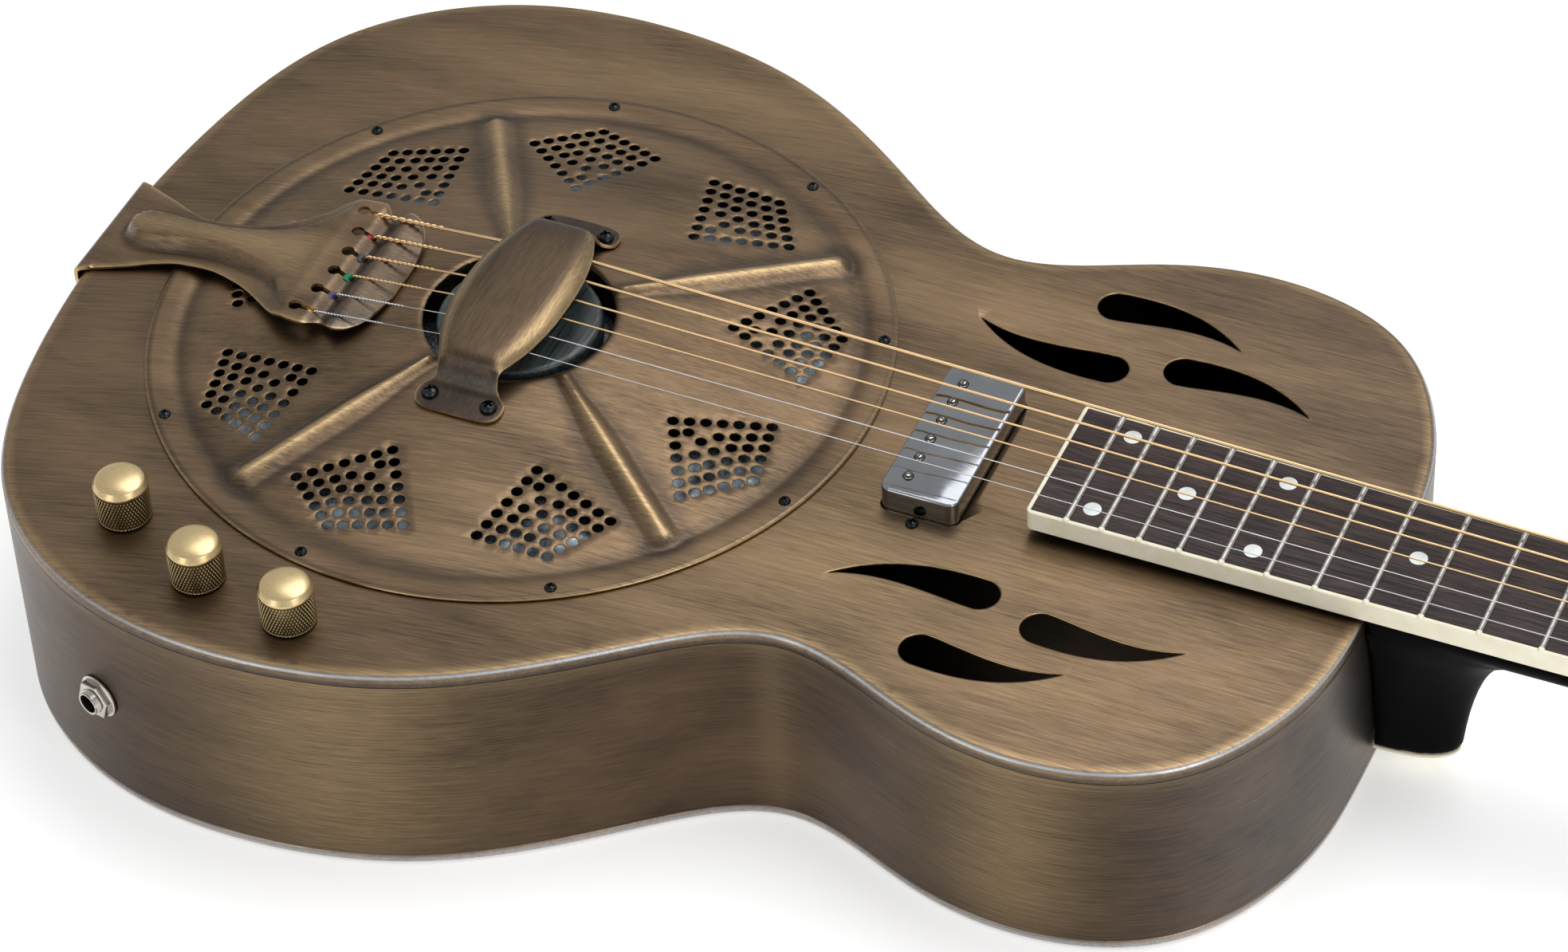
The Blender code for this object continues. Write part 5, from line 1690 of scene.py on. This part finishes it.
def build_strings():
    """Four wound and two plain strings, with their ends in the tailpiece."""
    for number, radius in enumerate(STRING_RADII, 1):
        _, side, x, y = tuner_places()[number - 1]
        material = BRONZE if number < 5 else STEEL
        slot = "wound_bronze" if number < 5 else "plain_steel"
        path = string_path(number, side, x, y, radius)
        finish(tube(f"string_{number}_fine", path, radius, material), slot, f"string_{number}")
        start, saddle = path[1:3]
        along = (saddle - start).normalized()
        build_twist(number, start, along, radius, material, slot)
        build_ball(number, start, along, radius, slot)


def build_twist(number, start, along, radius, material, slot):
    """The two strands of the lock twist behind the ball end."""
    side = along.cross(Vector((0, 0, 1))).normalized()
    up = side.cross(along)
    thin = max(0.2, radius * 0.62)
    reach = radius * 0.75 + thin * 0.6
    winding = 2 * math.pi * TWIST_LENGTH / (6.5 * radius + 1.2)
    for strand in (0, 1):
        path = []
        for k in range(150):
            t = k / 149
            loose = reach * (1.0 - 0.35 * t)
            a = math.pi * strand + winding * t + 0.6 * math.sin(9 * t)
            offset = loose * (math.cos(a) * side + math.sin(a) * up)
            path.append(start + along * (0.3 + TWIST_LENGTH * t) + offset)
        wire = tube(f"string_{number}_twist_{strand + 1}", path, thin, material, steps=7)
        finish(wire, slot)


def build_ball(number, start, along, radius, slot):
    """The ball end in its keyhole, and the coloured wrap between ball and string."""
    silk = SILKS[number - 1]
    corners = [(0.7, -2.0), (1.9, -2.0), (1.55, 0.0), (1.9, 2.0), (0.7, 2.0)]
    profile = rounded(corners + corners[:1], 0.5, 3)
    upright = Matrix.Rotation(math.pi / 2, 4, "X")
    place = TOP @ move(*(start - Vector((2.6, 0, 2.4)))) @ upright
    name = f"string_{number}_ball"
    finish(lathe(name, profile, 24, silk, closed=True, place=place), slot)
    path = [start - Vector((2.4, 0, 2.0)), start - Vector((1.0, 0, 1.0)), start + along * 0.2]
    finish(tube(f"string_{number}_silk", path, max(0.5, radius * 1.08), silk), slot)


def build_tuners():
    """Housings, posts with their winding waists, bushes and buttons."""
    above = HEAD_THICKNESS + VENEER + GAP
    gear = [(0.01, -8.5), (5.2, -8.5), (5.2, -2.5), (POST_RADIUS, -2.5)]
    waist = [
        (POST_RADIUS, above + 4),
        (POST_RADIUS - 0.3, above + 7),
        (POST_RADIUS - 0.3, above + 9),
        (POST_RADIUS + 0.8, above + 11.4),
    ]
    profile = rounded(gear + waist + [(2.4, above + 12), (0.01, above + 12)], 0.5, 3)
    bore = POST_RADIUS + 0.45
    ring = [(bore, above - 0.3), (6.2, above - 0.3), (6.0, above + 0.7), (4.6, above + 1.6)]
    bush = rounded(ring + [(bore, above + 1.6), ring[0]], 0.4, 3)
    for name, side, x, y in tuner_places():
        place = HEAD @ move(x, y, -above)
        softened(f"{name}_housing", NICKEL, 0.8)
        post = lathe(f"{name}_post_fine", profile, 40, NICKEL, place=place)
        finish(post, "nickel", f"{name}_post", body=f"{name}_post")
        made = lathe(f"{name}_bush", bush, 40, NICKEL, closed=True, place=place)
        finish(made, "nickel")
        build_button(name, side, place)


def build_button(name, side, place):
    """Worm stem in nickel and a pressed oval button; both turn with the button's body."""
    aside = place @ move(WORM_OFFSET, 0, -5.5) @ Matrix.Rotation(-side * math.pi / 2, 4, "X")
    worm = [(0.01, -7.5), (2.5, -7.5), (2.5, 5.5)]
    shaft = [(2.0, 5.5), (2.0, 14.5), (3.2, 15.5), (3.2, 18.0), (0.01, 18.0)]
    stem = lathe(f"{name}_stem", rounded(worm + shaft, 0.4, 3), 32, NICKEL, place=aside)
    finish(stem, "nickel", body=f"{name}_button")
    neck = [(0.01, 17.6), (4.0, 17.6), (4.8, 19.5)]
    wing = [(6.8, 22.0), (7.2, 27.0), (6.0, 31.5), (2.6, 33.0), (0.01, 33.0)]
    rings = []
    for radius, height in rounded(neck + wing, 2.2, 5):
        widen = min(1.0, max(0.0, (height - 18.0) / 3.0))
        turns = np.radians(np.arange(0, 360, 7.5))
        wide, flat = radius * (1 + 0.33 * widen), radius * (1 - 0.45 * widen)
        rings.append([(wide * math.cos(a), flat * math.sin(a), height) for a in turns])
    button = loft(f"{name}_button_fine", rings, BUTTON_CREAM, place=aside)
    finish(button, "button_cream", f"{name}_button", body=f"{name}_button")


# Electrics


def knurl(columns, rows, low, high):
    """Points of the knurled side, and how deep in a groove each one lies."""
    points = []
    patina = []
    turns = 2 * math.pi * np.arange(columns) / columns
    for j in range(rows + 1):
        z = low + (high - low) * j / rows
        for k, a in enumerate(turns):
            one = abs(((k + j) / 4) % 1 - 0.5) * 2
            two = abs(((k - j) / 4) % 1 - 0.5) * 2
            peak = min(one, two)
            r = KNOB_RADIUS - 0.35 + 0.5 * peak - 0.14
            points.append((r * math.cos(a), r * math.sin(a), z))
            # Painted shade in the grooves.
            patina.append(min(1.0, 1.25 * (1 - peak)))
    return points, patina


def build_knobs():
    """Knurled sides under a smooth turned dome."""
    columns = KNURLS * 4
    low, high = GAP + 0.9, KNOB_TOP - 4.7
    foot = [(3.0, GAP + 0.3), (KNOB_RADIUS - 0.7, GAP + 0.3), (KNOB_RADIUS - 0.2, GAP + 0.6)]
    rim = [
        (KNOB_RADIUS - 0.05, high + 0.25),
        (KNOB_RADIUS, high + 0.8),
        (KNOB_RADIUS - 0.1, high + 1.2),
        (KNOB_RADIUS - 0.8, high + 2.0),
    ]
    dome = []
    for a in np.radians(np.linspace(12, 88, 10)):
        dome.append((KNOB_RADIUS * math.cos(a) * 0.92, KNOB_TOP - 2.7 + 2.7 * math.sin(a)))
    side, grooves = knurl(columns, int((high - low) / KNURL_PITCH) * 4, low, high)
    points = []
    for radius, z in foot:
        points += level_ring(radius, z, columns)
    points += side
    for radius, z in rim + dome:
        points += level_ring(radius, z, columns)
    # Painted shade round the foot and between the knurls.
    patina = [0.3] * columns * len(foot) + grooves + [0.0] * columns * len(rim + dome)
    faces = loft_faces(len(points) // columns, columns)
    for name, (x, y) in KNOBS.items():
        place = TOP @ move(x, y, 0)
        marks = {"patina": patina}
        name = f"knob_{name}"
        made = build(f"{name}_fine", points, faces, KNOB_BRASS, place, marks, sharp=28)
        finish(outward(made), "knob_brass", name, body=name)


def pickup_cover():
    """Chrome cover with rounded edges, hollow for the coils and pierced for the poles."""
    half_x, half_y = PICKUP_HALF
    centre = (PICKUP_X, 0)
    edge = 0.9
    levels = [(0.0, -9.5), (0.0, PICKUP_TOP - edge)]
    for a in np.radians(np.linspace(15, 90, 6)):
        levels.append((edge * (1 - math.cos(a)), PICKUP_TOP - edge * (1 - math.sin(a))))
    rings = []
    for amount, z in levels:
        outline = rounded_box(half_x - amount, half_y - amount, 4.0 - amount / 2, centre, 8)
        rings.append([(x, y, z) for x, y in outline])
    cover = loft("pickup_cover_fine", rings, CHROME)
    room = rounded_box(half_x - 1, half_y - 1, 3, centre)
    cutters = [prism("coil_room", room, -15, PICKUP_TOP - 1, CHROME)]
    for k, y in enumerate(POLE_Y):
        cutters.append(tube(f"pole_hole_{k}", [(POLE_X, y, 5), (POLE_X, y, 15)], 2.0, CHROME, 24))
    return shade(boolean(cover, cutters), 40)


def build_pickup():
    """Cover, six slotted pole screws and the two screws beside it."""
    finish(pickup_cover(), "chrome", "pickup_cover")
    corners = [(0.01, -4), (1.75, -4), (1.75, 0.2), (1.2, 0.95), (0.01, 1.15)]
    profile = rounded(corners, 0.4, 4)
    for k, y in enumerate(POLE_Y):
        place = TOP @ move(POLE_X, y, PICKUP_TOP - 0.1)
        head = lathe(f"pole_screw_{k + 1}", profile, 32, NICKEL, place=place)
        bar = [turned(px, py, POLE_TURNS[k]) for px, py in box(-3, 3, 0.3)]
        cut = prism(f"slot_{k}", bar, 0.45, 3, RECESS_SHADE, place=place)
        finish(shade(boolean(head, [cut]), 40), "nickel")
    x, y = PICKUP_SCREW
    screw_head("pickup_screw_treble", 2.3, 1.6, TOP @ move(x, -y, 0.1))
    screw_head("pickup_screw_bass", 2.3, 1.6, TOP @ move(x, y, 0.1))


def build_jack():
    """Threaded socket through the side, with painted shade inside it, washer and hexagon nut."""
    place, direction = jack_place()
    turn = direction.to_track_quat("Z", "Y").to_matrix().to_4x4()
    at = TOP @ Matrix.Translation(place * MM) @ turn
    corners = [(9.0, -26.0), (9.0, -SHEET - 1.2), (4.6, -SHEET - 1.2)]
    thread = [(4.6 - 0.25 * (k % 2), 0.1 + 0.28 * k) for k in range(20)]
    lip = [(4.3, 5.9), (4.0, 6.0), (3.6, 5.8), (3.6, -24.0)]
    socket = lathe("jack_socket_fine", corners + thread + lip, 48, NICKEL, closed=True, place=at)
    finish(socket, "nickel", "jack_socket")
    # A near-black plug: painted shade inside the socket.
    inside = [(0.01, -20.0), (3.5, -20.0), (3.5, -6.0), (0.01, -6.0)]
    finish(lathe("jack_inner_shade", inside, 24, RECESS_SHADE, place=at), "black_plastic")

    washer = [(4.9, GAP), (8.2, GAP), (8.2, 0.9), (7.8, 1.15), (4.9, 1.15)]
    made = lathe("jack_nut_fine", washer, 60, NICKEL, closed=True, place=at)
    hexagon = [turned(7.3, 0, 60 * k + 12) for k in range(6)]
    nut = prism("hexagon", hexagon, 1.0, 3.7, NICKEL, place=at, ease=0.35)
    bore = lathe("nut_bore", [(4.75, -1), (4.75, 6)], 40, NICKEL, place=at)
    boolean(nut, [bore])
    boolean(made, [nut], "UNION")
    finish(shade(made, 30), "nickel", "jack_nut")


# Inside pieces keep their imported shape


def dress_inside():
    """Give the hidden pieces their looks."""
    dress(SHADED_INNER_BRASS, "soundwell")
    dress(MAPLE, "neck_stick")
    dress(STEEL, "truss_rod")
    dress(NICKEL, "pot_volume", "pot_tone", "pot_blend", "pickup_bracket")
    dress(BLACK_PLASTIC, "pickup_coils")


# Floor, lights and camera

FLOOR_SIZE = 24000
FLOOR_CELLS = 48
FLOOR_Z = -0.3
BODY_CENTRE = (60, 0, 60)


def build_stage():
    """A wide white floor under the guitar."""
    steps = [FLOOR_SIZE * (k / FLOOR_CELLS - 0.5) for k in range(FLOOR_CELLS + 1)]
    points = [(x, y, FLOOR_Z) for y in steps for x in steps]
    faces = grid_faces(len(steps), len(steps))
    build("floor", points, faces, floor_paper(), place=Matrix.Identity(4))


def softbox(name, place, target, size, power):
    """A rectangular lamp at place, facing target."""
    lamp = bpy.data.lights.new(name, "AREA")
    lamp.shape = "RECTANGLE"
    lamp.size, lamp.size_y = size[0] * MM, size[1] * MM
    lamp.energy = power
    made = bpy.data.objects.new(name, lamp)
    made.location = Vector(place) * MM
    direction = (Vector(target) - Vector(place)).normalized()
    made.rotation_euler = direction.to_track_quat("-Z", "Y").to_euler()
    bpy.context.scene.collection.objects.link(made)


def build_lights():
    """A white studio: a large lamp above, and two weak ones that draw lights on the edges."""
    world = bpy.data.worlds.new("studio")
    world.use_nodes = True
    background = world.node_tree.nodes["Background"]
    background.inputs["Color"].default_value = (1.0, 1.0, 1.0, 1.0)
    background.inputs["Strength"].default_value = 0.62
    bpy.context.scene.world = world
    bpy.context.scene.view_settings.view_transform = "Standard"
    softbox("over_key", (450, 750, 1900), BODY_CENTRE, (2000, 1500), 24)
    softbox("front_strip", (-500, -1600, 600), (60, -100, 40), (500, 900), 3)
    softbox("right_strip", (1500, -900, 900), (200, -50, 60), (600, 900), 6)


def build_camera():
    """The camera that was fitted to the photograph."""
    lens = bpy.data.cameras.new("camera")
    lens.sensor_width = SENSOR
    lens.lens = CAMERA_LENS
    made = bpy.data.objects.new("camera", lens)
    made.location = Vector(CAMERA_PLACE) * MM
    made.rotation_euler = [math.radians(a) for a in CAMERA_TURN]
    bpy.context.scene.collection.objects.link(made)
    bpy.context.scene.camera = made


build_camera()
build_lights()
build_stage()
build_top()
build_side()
build_back()
build_coverplate()
build_plate_screws()
build_cone()
build_biscuit()
build_hand_rest()
build_tailpiece()
build_strap_button()
build_fingerboard()
build_frets()
build_dots()
build_neck()
build_headstock()
build_strings()
build_tuners()
build_knobs()
build_pickup()
build_jack()
dress_inside()
